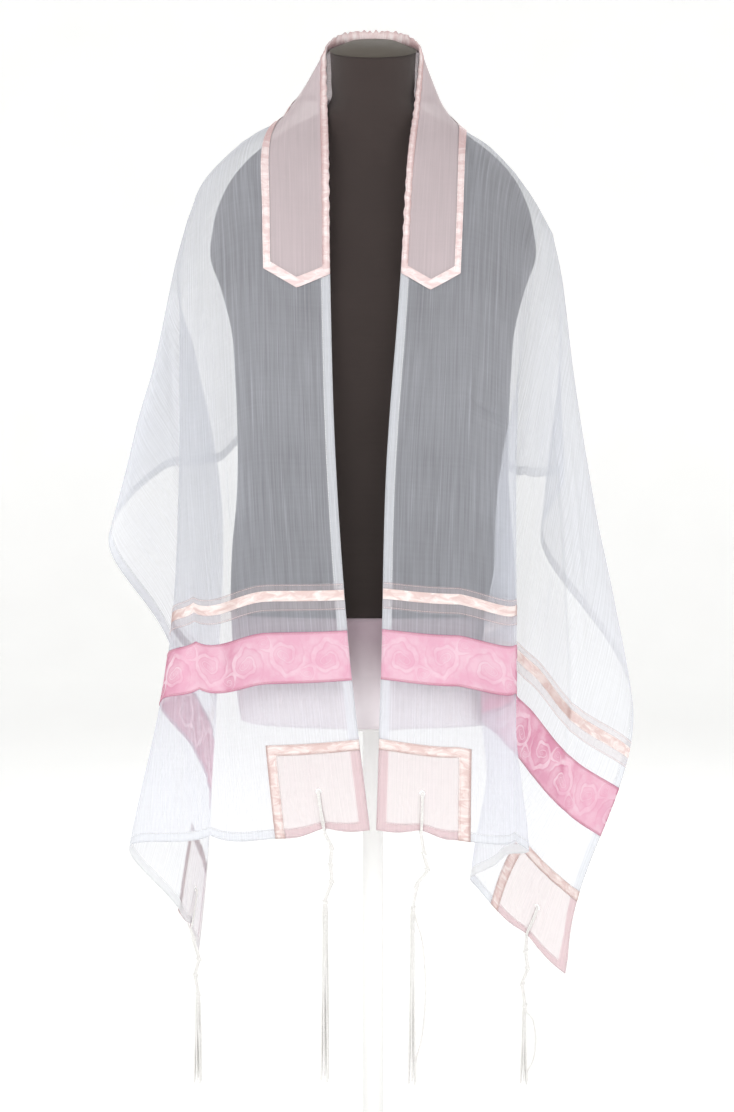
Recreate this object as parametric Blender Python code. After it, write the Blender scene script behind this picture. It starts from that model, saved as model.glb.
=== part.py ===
# Tallit prayer shawl of sheer organza, worn open over a limbless dress form on a plain stand.
# Lengths in the tables are millimetres. x is across, -y is the front, z is up from the floor.
# On the cloth, s runs along the shawl from the centre back and t from the neck edge to the
# outer edge.
import math

import bpy
import numpy as np

for old in list(bpy.data.objects):
    bpy.data.objects.remove(old, do_unlink=True)

MM = 0.001

# Shawl sizes
HALF_LENGTH = 1000.0
WIDTH = 500.0
WALL = 1.2
HEM_WALL = 1.8
HEM = 11.0
TRIM_WALL = 1.0
SEAM_GAP = 0.35
ATARA_WIDTH = 78.0
ATARA_END = 376.0
ATARA_POINT = 18.0
RIBBON = 12.0
NARROW_RIBBON_S = (720.0, 750.0)
BAND_S = (773.0, 829.0)
CORNER = 104.0
EYELET_FROM_EDGE = 50.0
EYELET = 7.0
HEM_LIFT = 8.0
HEM_LIFT_REACH = 20.0
HEM_LIFT_LENGTH = 50.0

# How the shawl lies over the form
NECK_RADIUS = 53.5
NECK_HEIGHT = 1288.0
NECK_TILT = 0.287
NECK_QUARTER = 85.0
APEX = 184.0
RIDGE_FADE = 90.0
HANG_STEP = 5.0
HANG_LENGTH = 960.0
LEVELS = (0, 60, 150, 300, 500, 720, 920)

# Ridge over each shoulder: run along it, then x outward, y and z
RIDGE = {
    "left": ((0, 53.5, 0, 1288), (35, 71, 1, 1256), (70, 87, 2, 1228), (102, 103, 3, 1207),
             (135, 135, 4, 1190), (170, 166, 3, 1167), (214, 197, 1, 1133), (260, 214, 0, 1092)),
    "right": ((0, 53.5, 0, 1288), (35, 66, 1, 1254), (70, 80, 2, 1221), (102, 100, 3, 1198),
              (135, 130, 4, 1179), (170, 156, 3, 1154), (214, 184, 1, 1117), (260, 207, 0, 1076)),
}

# Lines down which the cloth hangs, one row each, from the front edge round to the centre back.
# kind: "front" hangs at one t, "fan" leaves the shoulder end at an angle in degrees, "back" hangs
# at one s. key: that t, angle or s. give: stretch on the bias. lean: first slope of y.
# Then x outward and y at each level of cloth below the ridge.
HANG = {
    "left": (
        ("front", 0, 1.00, 0.0, (52.5, -20), (50, -70), (48, -113), (42, -124), (26, -127), (3, -118)),
        ("front", 90, 1.03, -1.0, (139, -46), (136, -84), (131, -98), (124, -98), (108, -104), (86, -96)),
        ("fan", 0, 0.975, -0.8, (216, -26), (216, -36), (213, -42), (202, -56), (186, -76), (172, -84)),
        ("fan", 6, 0.99, -0.5, (220, -18), (222, -22), (223, -26), (234, -36), (276, -54), (305, -60)),
        ("fan", 16, 1.07, 0.0, (224, -6), (218, 10), (206, 32), (206, 42), (226, 28), (240, 8)),
        ("fan", 30, 1.13, 0.2, (227, 8), (208, 44), (182, 88), (188, 106), (202, 106), (205, 100)),
        ("fan", 43, 1.07, 0.3, (230, 16), (232, 34), (238, 60), (252, 90), (270, 110), (280, 120)),
        ("fan", 57, 1.04, 0.4, (231, 22), (250, 28), (290, 40), (345, 62), (390, 80), (440, 100)),
        ("fan", 75, 1.00, 0.8, (224, 36), (232, 74), (250, 132), (262, 190), (270, 240), (280, 280)),
        ("fan", 90, 1.00, 1.0, (212, 46), (206, 82), (198, 114), (192, 130), (190, 130), (190, 130)),
        ("back", 205, 1.00, 1.0, (176, 52), (168, 98), (160, 134), (152, 154), (150, 160), (150, 160)),
        ("back", 140, 1.00, 1.0, (106, 56), (108, 106), (106, 118), (100, 120), (100, 120), (100, 120)),
        ("back", 85, 1.00, 0.6, (64, 40), (74, 96), (74, 130), (68, 146), (66, 150), (66, 150)),
        ("back", 45, 1.00, 0.3, (38, 54), (40, 104), (38, 132), (34, 148), (32, 150), (32, 150)),
        ("back", 0, 1.00, 0.0, (0, 66), (0, 108), (0, 120), (0, 122), (0, 122), (0, 122)),
    ),
    "right": (
        ("front", 0, 1.00, 0.0, (48.5, -22), (39, -72), (30, -113), (15, -124), (9, -127), (3, -118)),
        ("front", 90, 1.02, -1.0, (116, -48), (110, -88), (103, -106), (97, -110), (94, -110), (92, -104)),
        ("front", 158, 0.99, -0.9, (175, -39), (167, -66), (161, -83), (161, -88), (161, -81), (166, -76)),
        ("front", 163, 0.99, -0.9, (179, -35), (169, -62), (160, -78), (160, -83), (164, -76), (170, -71)),
        ("fan", 0, 1.00, -0.7, (196, -22), (176, -48), (142, -77), (142, -87), (177, -64), (184, -56)),
        ("fan", 3.2, 1.01, -0.5, (199, -17), (183, -38), (157, -65), (122, -95), (153, -50), (156, -24)),
        ("fan", 5.2, 1.02, -0.4, (201, -14), (185, -33), (161, -58), (123, -81), (141, -37), (143, -6)),
        ("fan", 8, 1.03, -0.3, (204, -10), (192, -24), (176, -44), (150, -69), (118, -22), (112, 10)),
        ("fan", 14, 1.06, 0.0, (209, -2), (202, -8), (198, -20), (184, -44), (128, 34), (124, 50)),
        ("fan", 24, 1.11, 0.2, (215, 8), (216, 12), (230, 14), (236, 10), (224, 50), (266, 60)),
        ("fan", 38, 1.10, 0.3, (220, 16), (234, 30), (262, 48), (306, 58), (330, 60), (350, 64)),
        ("fan", 59, 1.04, 0.5, (220, 30), (222, 58), (208, 104), (196, 150), (190, 170), (190, 190)),
        ("fan", 75, 1.02, 0.8, (214, 40), (218, 88), (232, 154), (236, 190), (236, 200), (236, 200)),
        ("fan", 90, 1.00, 1.0, (206, 46), (198, 82), (184, 114), (178, 128), (178, 132), (178, 132)),
        ("back", 205, 1.00, 1.0, (160, 54), (154, 98), (146, 136), (140, 158), (140, 162), (140, 162)),
        ("back", 140, 1.00, 1.0, (96, 54), (102, 106), (100, 118), (96, 120), (96, 120), (96, 120)),
        ("back", 85, 1.00, 0.6, (62, 40), (70, 96), (68, 130), (62, 146), (60, 150), (60, 150)),
        ("back", 45, 1.00, 0.3, (38, 54), (40, 104), (36, 130), (32, 148), (30, 150), (30, 150)),
        ("back", 0, 1.00, 0.0, (0, 66), (0, 108), (0, 120), (0, 122), (0, 122), (0, 122)),
    ),
}

# Stations of the cloth mesh: seams and edges fall on them
EYELET_LOW = EYELET_FROM_EDGE - EYELET / 2
EYELET_HIGH = EYELET_FROM_EDGE + EYELET / 2
HALF_ROWS = (
    0, 21, 43, 64, 85, 112, 140, 168, 196, 224, 252, 280, 310, 340, ATARA_END - RIBBON, ATARA_END,
    402, 432, 465, 500, 535, 570, 605, 640, 680, *NARROW_RIBBON_S,
    BAND_S[0], 792, 810, BAND_S[1], 860, HALF_LENGTH - CORNER, HALF_LENGTH - CORNER + RIBBON, 924,
    HALF_LENGTH - EYELET_HIGH, HALF_LENGTH - EYELET_LOW, 970, HALF_LENGTH - HEM, HALF_LENGTH,
)
ROWS = tuple(-s for s in reversed(HALF_ROWS[1:])) + HALF_ROWS
COLUMNS = (
    0, HEM, EYELET_LOW, EYELET_HIGH, ATARA_WIDTH - HEM, ATARA_WIDTH, CORNER - RIBBON, CORNER, 135,
    158, 163, 184, 208, 228, 248, 270, 294, 318, 342, 366, WIDTH - CORNER, WIDTH - CORNER + RIBBON,
    WIDTH - EYELET_HIGH, WIDTH - EYELET_LOW, WIDTH - HEM, WIDTH,
)

# Dress form: height, half width, front depth, back depth, roundness, tilt
TORSO = (
    (639.2, 167, 106, 114, 2.3, 0), (680, 166, 106, 111, 2.3, 0), (720, 164, 105, 108, 2.3, 0),
    (760, 160, 104, 103, 2.3, 0), (800, 158, 103, 99, 2.3, 0), (840, 158, 104, 97, 2.3, 0),
    (880, 159, 105, 97, 2.3, 0), (920, 161, 106, 99, 2.3, 0), (960, 164, 106, 103, 2.3, 0),
    (1010, 176, 101, 109, 2.3, 0), (1050, 189, 92, 113, 2.2, 0), (1080, 186, 82, 111, 2.15, 0),
    (1100, 182, 74, 106, 2.05, 0), (1117, 175.5, 67, 100, 1.95, 0), (1135, 166.3, 60, 94, 1.75, 0),
    (1150, 155, 55, 88, 1.6, 0), (1162, 143.8, 52, 83, 1.45, 0), (1175, 128, 49, 77, 1.35, 0),
    (1186, 113, 48, 72, 1.35, 0), (1198, 96.5, 47, 68, 1.5, 0), (1210, 69, 47, 63, 1.9, 0),
    (1225, 52, 47, 58, 2, 0.05), (1250, 49.5, 47, 53, 2, 0.15), (1284, 50.8, 50.8, 50.8, 2, NECK_TILT),
)
HIPS = (
    (513, 156, 98, 106, 2.3, 0), (560, 162, 103, 111, 2.3, 0), (600, 165, 105, 113, 2.3, 0),
    (638.8, 167, 106, 114, 2.3, 0),
)
CAP = (
    (1284.4, 50.8, 50.8, 50.8, 2, NECK_TILT), (1289.5, 50.8, 50.8, 50.8, 2, NECK_TILT),
    (1292.5, 44, 44, 44, 2, NECK_TILT), (1294.5, 28, 28, 28, 2, NECK_TILT),
)
FORM_SIDES = 28

# Stand: radius and height of each turned step
POLE = ((26, 12.4), (26, 36), (22, 40), (12, 41), (12, 503), (45, 504), (45, 512.6))
BASE = ((147, 0), (150, 3), (150, 9), (146, 12))
STAND_SIDES = 36

# Knotted tassels: the hem point s and t, then x and z of four knots below it
TASSELS = {
    "front_left": (-1000, 50, (8, -22), (7, -41), (8, -60), (1, -83)),
    "front_right": (1000, 50, (3, -26), (7, -44), (-5, -63), (-9, -88)),
    "rear_left": (-1000, 450, (4, -18), (10, -42), (6, -61), (9, -84)),
    "rear_right": (1000, 450, (-1, -20), (1, -41), (-5, -60), (-2, -86)),
}
STRING_FLOOR = {"front_left": 117, "front_right": 115, "rear_left": 75, "rear_right": 72}
LOOP_OUT = {"front_right": 11.0, "rear_right": 10.0}
STRINGS = 8
STRING_RADIUS = 0.8
STRING_CIRCLE = 2.3
STRING_SPREAD = 4.6
WINDING_RADIUS = 2.2
KNOT_RADIUS = 3.6
LOOP_RADIUS = 1.1
LOOP_TOP = 948.5
LOOP_DROP = 9.0

# How far along the shawl the loop is, and how far out of the cloth before and behind it
LOOP_STOPS = ((951, 3.5, -2.4), (957, 4.0, -2.7), (972, 4.4, -3.0), (1000, 4.8, -3.4))


def hermite(stations, values, at, first_slope=None):
    last = len(stations) - 1
    i = 0
    while i < last - 1 and at > stations[i + 1]:
        i += 1

    def slope(k):
        if k == 0 and first_slope is not None:
            return first_slope
        if k == 0:
            return (values[1] - values[0]) / (stations[1] - stations[0])
        if k == last:
            return (values[-1] - values[-2]) / (stations[-1] - stations[-2])
        before = stations[k] - stations[k - 1]
        after = stations[k + 1] - stations[k]
        rise = (values[k] - values[k - 1]) / before
        fall = (values[k + 1] - values[k]) / after
        return (rise * after + fall * before) / (before + after)

    span = stations[i + 1] - stations[i]
    u = (at - stations[i]) / span
    start = (2 * u ** 3 - 3 * u * u + 1) * values[i] + (u ** 3 - 2 * u * u + u) * span * slope(i)
    end = (3 * u * u - 2 * u ** 3) * values[i + 1] + (u ** 3 - u * u) * span * slope(i + 1)
    return start + end


def ridge_point(side, kind, key):
    if kind == "back" and key < NECK_QUARTER:
        angle = key / NECK_QUARTER * math.pi / 2
        x = NECK_RADIUS * math.sin(angle)
        y = NECK_RADIUS * math.cos(angle)
        return np.array((x, y, NECK_HEIGHT + NECK_TILT * y))
    run = {"front": key, "fan": APEX, "back": key - NECK_QUARTER}[kind] * math.sqrt(2)
    runs = [row[0] for row in RIDGE[side]]
    return np.array([hermite(runs, [row[j] for row in RIDGE[side]], run) for j in (1, 2, 3)])


def hang_line(side, row):
    kind, key, give, lean = row[:4]
    x0, y0, z = ridge_point(side, kind, key)
    xs = [x0] + [p[0] for p in row[4:]]
    ys = [y0] + [p[1] for p in row[4:]]
    line = []
    for i in range(int(HANG_LENGTH / HANG_STEP) + 1):
        down = i * HANG_STEP
        x = hermite(LEVELS, xs, down)
        y = hermite(LEVELS, ys, down, lean)
        if line:
            across = (x - line[-1][0]) ** 2 + (y - line[-1][1]) ** 2
            z -= math.sqrt(max(HANG_STEP ** 2 - across, 0.0)) * give
        line.append((x, y, z))
    return np.array(line)


def hang_order(kind, key):
    if kind == "front":
        return key
    if kind == "fan":
        return APEX + key
    return APEX + 90 + NECK_QUARTER + APEX - key


LINES = {side: [hang_line(side, row) for row in HANG[side]] for side in HANG}
ORDER = {side: [hang_order(row[0], row[1]) for row in HANG[side]] for side in HANG}


def on_line(side, k, down):
    line = LINES[side][k]
    place = max(0.0, min(down / HANG_STEP, len(line) - 1.001))
    i = int(place)
    return line[i] + (line[i + 1] - line[i]) * (place - i)


def spline(p, u):
    knots = [0.0]
    for a, b in zip(p, p[1:]):
        knots.append(knots[-1] + max(np.linalg.norm(b - a), 0.001) ** 0.5)
    at = knots[1] + (knots[2] - knots[1]) * u

    def mix(a, b, from_knot, to_knot):
        return ((to_knot - at) * a + (at - from_knot) * b) / (to_knot - from_knot)

    a1 = mix(p[0], p[1], knots[0], knots[1])
    a2 = mix(p[1], p[2], knots[1], knots[2])
    a3 = mix(p[2], p[3], knots[2], knots[3])
    b1 = mix(a1, a2, knots[0], knots[2])
    b2 = mix(a2, a3, knots[1], knots[3])
    return mix(b1, b2, knots[1], knots[2])


def between_lines(side, place, down):
    order = ORDER[side]
    count = len(order)
    i = 0
    while i < count - 2 and place > order[i + 1]:
        i += 1
    near = []
    for k in (i - 1, i, i + 1, i + 2):
        if k < 0:
            near.append(2 * on_line(side, 0, down) - on_line(side, 1, down))
        elif k >= count:
            other = "right" if side == "left" else "left"
            mirrored = on_line(other, len(ORDER[other]) - 2 - (k - count), down)
            near.append(mirrored * (-1, 1, 1))
        else:
            near.append(on_line(side, k, down))
    return spline(near, (place - order[i]) / (order[i + 1] - order[i]))


def cloth_point(s, t):
    side = "left" if s < 0 else "right"
    run = abs(s)
    if run >= NECK_QUARTER + APEX and t >= APEX:
        kind = "fan"
        key = math.degrees(math.atan2(t - APEX, run - NECK_QUARTER - APEX))
        down = math.hypot(t - APEX, run - NECK_QUARTER - APEX)
    elif t < APEX and run - NECK_QUARTER > t:
        kind, key, down = "front", t, run - NECK_QUARTER - t
    else:
        kind, key, down = "back", run, t - max(0, run - NECK_QUARTER)
    place = hang_order(kind, key)
    point = between_lines(side, place, down)
    shift = ridge_point(side, kind, key) - between_lines(side, place, 0.0)
    point = point + shift * math.exp(-down / RIDGE_FADE)
    if s < 0:
        point[0] = -point[0]
    point[2] += hem_lift(run, t)
    return point


# Each tassel draws the hem up to a soft notch
def hem_lift(run, t):
    along = max(0.0, 1 - (HALF_LENGTH - run) / HEM_LIFT_LENGTH)
    from_notch = min(abs(t - EYELET_FROM_EDGE), abs(t - WIDTH + EYELET_FROM_EDGE))
    return HEM_LIFT * along ** 2 * math.exp(-(from_notch / HEM_LIFT_REACH) ** 2)


# The two rows at each end of the neckband are drawn out to its point
def station(i, j):
    s, t = ROWS[i], COLUMNS[j]
    if t < ATARA_WIDTH and abs(s) in (ATARA_END - RIBBON, ATARA_END):
        half = ATARA_WIDTH / 2
        s += math.copysign(ATARA_POINT * (1 - abs(t - half) / half), s)
    return s, t


def half_wall(i, j):
    edge = min(HALF_LENGTH - abs(ROWS[i]), COLUMNS[j], WIDTH - COLUMNS[j])
    return (HEM_WALL if edge <= HEM else WALL) / 2


POINTS = np.array([[cloth_point(*station(i, j)) for j in range(len(COLUMNS))] for i in range(len(ROWS))])


# Cells split along the fan of folds, the same way for the panel and all that lies on it
def cell_faces(i, j):
    a, b, c, d = (i, j), (i + 1, j), (i + 1, j + 1), (i, j + 1)
    if ROWS[i] >= 0:
        return (a, b, c), (a, c, d)
    return (a, b, d), (b, c, d)


def cloth_directions():
    faces = []
    for i in range(len(ROWS) - 1):
        for j in range(len(COLUMNS) - 1):
            faces.extend(cell_faces(i, j))
    around = {}
    for face in faces:
        p, q, r = (POINTS[node] for node in face)
        normal = np.cross(q - p, r - p)
        normal /= np.linalg.norm(normal)
        for k, node in enumerate(face):
            one = POINTS[face[(k + 1) % 3]] - POINTS[node]
            two = POINTS[face[(k + 2) % 3]] - POINTS[node]
            cosine = np.dot(one, two) / (np.linalg.norm(one) * np.linalg.norm(two))
            around.setdefault(node, []).append((math.acos(max(-1, min(1, cosine))), normal))
    directions = np.zeros_like(POINTS)
    for node, fans in around.items():
        mean = sum(weight * normal for weight, normal in fans)
        mean /= np.linalg.norm(mean)
        least = min(np.dot(mean, normal) for _, normal in fans)
        directions[node] = mean / max(least, 0.5)
    return directions


DIRECTIONS = cloth_directions()


def make_material(name, color, roughness, metallic=0.0):
    material = bpy.data.materials.new(name)
    material.use_nodes = True
    shader = material.node_tree.nodes["Principled BSDF"]
    shader.inputs["Base Color"].default_value = (*color, 1.0)
    shader.inputs["Roughness"].default_value = roughness
    shader.inputs["Metallic"].default_value = metallic
    return material


def add_object(name, points, faces, material):
    mesh = bpy.data.meshes.new(name)
    mesh.from_pydata([tuple(float(v) * MM for v in p) for p in points], [], faces)
    mesh.validate()
    mesh.materials.append(material)
    thing = bpy.data.objects.new(name, mesh)
    bpy.context.scene.collection.objects.link(thing)
    return thing


# A closed wall over some cells of the cloth, between two distances from its mid surface
def cloth_piece(name, cells, under, over, material):
    nodes = {}
    points = []
    faces = []

    def node(key, top):
        if (key, top) not in nodes:
            out = half_wall(*key)
            offset = out + over if top else (out + under if under >= 0 else -out)
            nodes[(key, top)] = len(points)
            points.append(POINTS[key] + DIRECTIONS[key] * offset)
        return nodes[(key, top)]

    edges = set()
    for cell in sorted(cells):
        for face in cell_faces(*cell):
            faces.append([node(key, True) for key in face])
            faces.append([node(key, False) for key in reversed(face)])
            edges.update(zip(face, face[1:] + face[:1]))
    for a, b in sorted(edges):
        if (b, a) not in edges:
            faces.append([node(a, False), node(b, False), node(b, True)])
            faces.append([node(a, False), node(b, True), node(a, True)])
    return add_object(name, points, faces, material)


def cells_between(low_s, high_s, low_t, high_t):
    return {
        (i, j)
        for i in range(len(ROWS) - 1)
        for j in range(len(COLUMNS) - 1)
        if low_s <= ROWS[i] and ROWS[i + 1] <= high_s and low_t <= COLUMNS[j] and COLUMNS[j + 1] <= high_t
    }


def both_ends(low_s, high_s, low_t, high_t):
    return {-1: cells_between(-high_s, -low_s, low_t, high_t), 1: cells_between(low_s, high_s, low_t, high_t)}


# Rings of points closed into one solid, each ring wound anticlockwise from above, lowest first
def ring_solid(name, rings, material):
    sides = len(rings[0])
    points = [p for ring in rings for p in ring]
    faces = [list(reversed(range(sides)))]
    for level in range(len(rings) - 1):
        low = level * sides
        for k in range(sides):
            nxt = (k + 1) % sides
            faces.append([low + k, low + nxt, low + sides + nxt])
            faces.append([low + k, low + sides + nxt, low + sides + k])
    faces.append(list(range(len(points) - sides, len(points))))
    return add_object(name, points, faces, material)


def form_ring(height, half_width, front, back, roundness, tilt):
    ring = []
    for k in range(FORM_SIDES):
        angle = 2 * math.pi * k / FORM_SIDES
        x = math.copysign(abs(math.cos(angle)) ** (2 / roundness), math.cos(angle)) * half_width
        y = math.copysign(abs(math.sin(angle)) ** (2 / roundness), math.sin(angle))
        y *= back if y > 0 else front
        ring.append((x, y, height + tilt * y))
    return ring


def circle(radius, height):
    turns = [2 * math.pi * k / STAND_SIDES for k in range(STAND_SIDES)]
    return [(radius * math.cos(a), radius * math.sin(a), height) for a in turns]


# Points and faces of a tube along a path; radii has one value for each point of the path
def tube(path, radii, sides, closed=False, across=None):
    path = [np.array(p, dtype=float) for p in path]
    count = len(path)
    points = []
    faces = []
    for k, p in enumerate(path):
        ahead = path[(k + 1) % count] if closed or k < count - 1 else p
        behind = path[k - 1] if closed or k > 0 else p
        along = (ahead - behind) / np.linalg.norm(ahead - behind)
        if across is None:
            across = np.cross(along, (0.0, 1.0, 0.0) if abs(along[1]) < 0.9 else (1.0, 0.0, 0.0))
        across = across - along * np.dot(across, along)
        across /= np.linalg.norm(across)
        other = np.cross(along, across)
        for m in range(sides):
            angle = 2 * math.pi * m / sides
            points.append(p + (across * math.cos(angle) + other * math.sin(angle)) * radii[k])
    for k in range(count if closed else count - 1):
        for m in range(sides):
            a = k * sides + m
            b = k * sides + (m + 1) % sides
            c = (k + 1) % count * sides + (m + 1) % sides
            d = (k + 1) % count * sides + m
            faces.extend(([a, b, c], [a, c, d]))
    if not closed:
        faces.append(list(reversed(range(sides))))
        faces.append(list(range(len(points) - sides, len(points))))
    return points, faces


def cloth_at(s, t, out):
    step = 2.0
    here = cloth_point(s, t)
    along = cloth_point(s - step, t) - here
    across = cloth_point(s, t - step) - here
    normal = np.cross(along, across)
    return here + normal / np.linalg.norm(normal) * out


# Loop of string through the eyelet, over both faces of the cloth to below the hem
def eyelet_loop(s, t):
    sign = math.copysign(1, s)
    front = [cloth_at(sign * run, t, out) for run, out, _ in LOOP_STOPS]
    back = [cloth_at(sign * run, t, out) for run, _, out in LOOP_STOPS]
    hole = cloth_at(sign * LOOP_TOP, t, 0.6)
    join = cloth_at(s, t, 0.6) + (0, 0, -LOOP_DROP)
    return [hole] + front + [join] + back[::-1]


def tassel(name, material):
    s, t = TASSELS[name][:2]
    hem = cloth_at(s, t, 0.6)
    knots = [hem + (dx, 0, dz) for dx, dz in TASSELS[name][2:]]
    top = hem + (0, 0, -6)
    path = [top]
    radii = [WINDING_RADIUS * 0.8]
    for knot in knots:
        before = path[-1] + (knot - path[-1]) * 0.72
        path.extend((before, knot + (0, 0, 1.5), knot + (0, 0, -2.0)))
        radii.extend((WINDING_RADIUS, KNOT_RADIUS, KNOT_RADIUS))
    path.append(knots[-1] + (0, 0, -4.5))
    radii.append(STRING_CIRCLE + STRING_RADIUS + 0.5)
    thing = add_object("tzitzit_" + name, *tube(path, radii, 6), material)

    loop = eyelet_loop(s, t)
    sideways = cloth_point(s, t + 1) - cloth_point(s, t - 1)
    points, faces = tube(loop, [LOOP_RADIUS] * len(loop), 4, closed=True, across=sideways)
    root = knots[-1]
    floor = STRING_FLOOR[name]
    for k in range(STRINGS):
        angle = 2 * math.pi * (k + 0.5) / STRINGS
        turn = np.array((math.cos(angle), math.sin(angle) * 0.8, 0.0))
        out = LOOP_OUT.get(name, 0.0) if k in (0, STRINGS - 1) else 0.0
        length = root[2] - floor + 3.0 * math.sin(2.4 * k)
        line = [root + turn * STRING_CIRCLE, root + turn * STRING_CIRCLE + (0, 0, -6)]
        for share in (0.18, 0.45, 0.75, 1.0):
            bulge = out * math.sin(math.pi * min(1.0, share / 0.9)) ** 0.7
            spread = STRING_CIRCLE + (STRING_SPREAD - STRING_CIRCLE) * share
            line.append(root + turn * spread + (bulge, 0, -length * share))
        more_points, more_faces = tube(line, [STRING_RADIUS] * len(line), 3)
        faces.extend([index + len(points) for index in face] for face in more_faces)
        points.extend(more_points)
    strings = add_object("strings_" + name, points, faces, material)
    strings.hide_render = True
    strings.display_type = "WIRE"
    union = thing.modifiers.new("tied", "BOOLEAN")
    union.operation = "UNION"
    union.solver = "EXACT"
    union.object = strings
    return thing


organza = make_material("organza", (0.90, 0.88, 0.88), 0.7)
neckband_organza = make_material("neckband_organza", (0.78, 0.70, 0.69), 0.7)
ribbon_satin = make_material("ribbon_satin", (0.86, 0.66, 0.68), 0.35)
jacquard_satin = make_material("jacquard_satin", (0.88, 0.55, 0.68), 0.35)
string_cotton = make_material("string_cotton", (0.86, 0.86, 0.82), 0.9)
dark_jersey = make_material("dark_jersey", (0.06, 0.052, 0.048), 0.9)
mauve_jersey = make_material("mauve_jersey", (0.42, 0.34, 0.37), 0.9)
cap_cloth = make_material("cap_cloth", (0.13, 0.115, 0.10), 0.8)
powder_coated_steel = make_material("powder_coated_steel", (0.80, 0.80, 0.79), 0.4)

ends = {"left": -1, "right": 1}
eyelet_rows = (HALF_LENGTH - EYELET_HIGH, HALF_LENGTH - EYELET_LOW)
eyelets = set()
for columns in ((EYELET_LOW, EYELET_HIGH), (WIDTH - EYELET_HIGH, WIDTH - EYELET_LOW)):
    for cells in both_ends(*eyelet_rows, *columns).values():
        eyelets |= cells

first_trim = SEAM_GAP
second_trim = first_trim + TRIM_WALL + SEAM_GAP
panel = cells_between(-HALF_LENGTH, HALF_LENGTH, 0, WIDTH) - eyelets
cloth_piece("shawl_panel", panel, -1, 0, organza)

neckband = cells_between(-ATARA_END, ATARA_END, 0, ATARA_WIDTH)
inner = cells_between(-ATARA_END + RIBBON, ATARA_END - RIBBON, HEM, ATARA_WIDTH - HEM)
cloth_piece("atara_panel", neckband, first_trim, first_trim + TRIM_WALL, neckband_organza)
cloth_piece("atara_ribbon", neckband - inner, second_trim, second_trim + TRIM_WALL, ribbon_satin)

ribbons = both_ends(*NARROW_RIBBON_S, 0, WIDTH)
bands = both_ends(*BAND_S, 0, WIDTH)
corners = {
    "front": both_ends(HALF_LENGTH - CORNER, HALF_LENGTH, 0, CORNER),
    "rear": both_ends(HALF_LENGTH - CORNER, HALF_LENGTH, WIDTH - CORNER, WIDTH),
}
plain_corners = {
    "front": both_ends(HALF_LENGTH - CORNER + RIBBON, HALF_LENGTH, 0, CORNER - RIBBON),
    "rear": both_ends(HALF_LENGTH - CORNER + RIBBON, HALF_LENGTH, WIDTH - CORNER + RIBBON, WIDTH),
}
for side, end in ends.items():
    cloth_piece("narrow_ribbon_" + side, ribbons[end], first_trim, first_trim + TRIM_WALL, ribbon_satin)
    cloth_piece("wide_band_" + side, bands[end], first_trim, first_trim + TRIM_WALL, jacquard_satin)
    for place in ("front", "rear"):
        square = corners[place][end]
        border = square - plain_corners[place][end]
        where = place + "_" + side
        cloth_piece("corner_" + where, square - eyelets, first_trim, first_trim + TRIM_WALL, organza)
        cloth_piece("corner_ribbon_" + where, border, second_trim, second_trim + TRIM_WALL, ribbon_satin)
        tassel(where, string_cotton)

ring_solid("form_torso", [form_ring(*row) for row in TORSO], dark_jersey)
ring_solid("form_hips", [form_ring(*row) for row in HIPS], mauve_jersey)
ring_solid("neck_cap", [form_ring(*row) for row in CAP], cap_cloth)
ring_solid("stand_pole", [circle(*row) for row in POLE], powder_coated_steel)
ring_solid("stand_base", [circle(*row) for row in BASE], powder_coated_steel)
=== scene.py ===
# Tallit of sheer organza, worn open over a limbless dress form on a plain stand.
# Tables are in millimetres: x across, -y to the front, z up from the floor.
# On the cloth, s runs along the shawl from the centre back and t from the neck edge outwards.
import math

import bpy
import numpy as np
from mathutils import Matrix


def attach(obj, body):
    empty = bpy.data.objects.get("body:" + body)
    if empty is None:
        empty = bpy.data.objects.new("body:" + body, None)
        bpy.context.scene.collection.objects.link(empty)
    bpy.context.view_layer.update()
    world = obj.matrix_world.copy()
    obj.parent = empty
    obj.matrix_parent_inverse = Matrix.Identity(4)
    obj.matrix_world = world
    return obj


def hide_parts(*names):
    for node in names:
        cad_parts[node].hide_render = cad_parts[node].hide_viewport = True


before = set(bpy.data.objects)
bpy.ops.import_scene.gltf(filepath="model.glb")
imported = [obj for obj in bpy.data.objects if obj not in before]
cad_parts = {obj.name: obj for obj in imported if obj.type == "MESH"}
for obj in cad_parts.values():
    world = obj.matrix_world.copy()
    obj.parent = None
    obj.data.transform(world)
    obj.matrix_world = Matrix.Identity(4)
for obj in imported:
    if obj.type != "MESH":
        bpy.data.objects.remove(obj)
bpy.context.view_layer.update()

mm = 0.001
scene = bpy.context.scene

shawl = {
    "halfLength": 1000.0,
    "width": 500.0,
    "hem": 11.0,
    "ataraWidth": 78.0,
    "ataraEnd": 376.0,
    "ataraPoint": 18.0,
    "pointReach": 44.0,
    "trim": 12.0,  # satin ribbon
    "neckTrim": 8.5,  # what shows of it along the neckband's long edges
    "casingS": (720.0, 750.0),  # sheer tape of the cross ribbon
    "ribbonS": (727.5, 739.0),  # its satin stripe
    "bandS": (773.0, 829.0),
    "bandTurn": 4.0,  # how far the band laps over the cloth
    "corner": 104.0,
    "eyelet": 50.0,  # from both edges
    "eyeletSize": 7.0,
    "hemLift": 8.0,
    "liftReach": 20.0,
    "liftLength": 50.0,
    "cell": 3.5,
}

drape = {
    "neckRadius": 53.5,
    "neckHeight": 1288.0,
    "neckTilt": 0.287,
    "neckQuarter": 85.0,
    "apex": 184.0,
    "ridgeFade": 90.0,
    "step": 5.0,
    "length": 960.0,
    "levels": (0, 60, 150, 300, 500, 720, 920),
}

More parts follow.
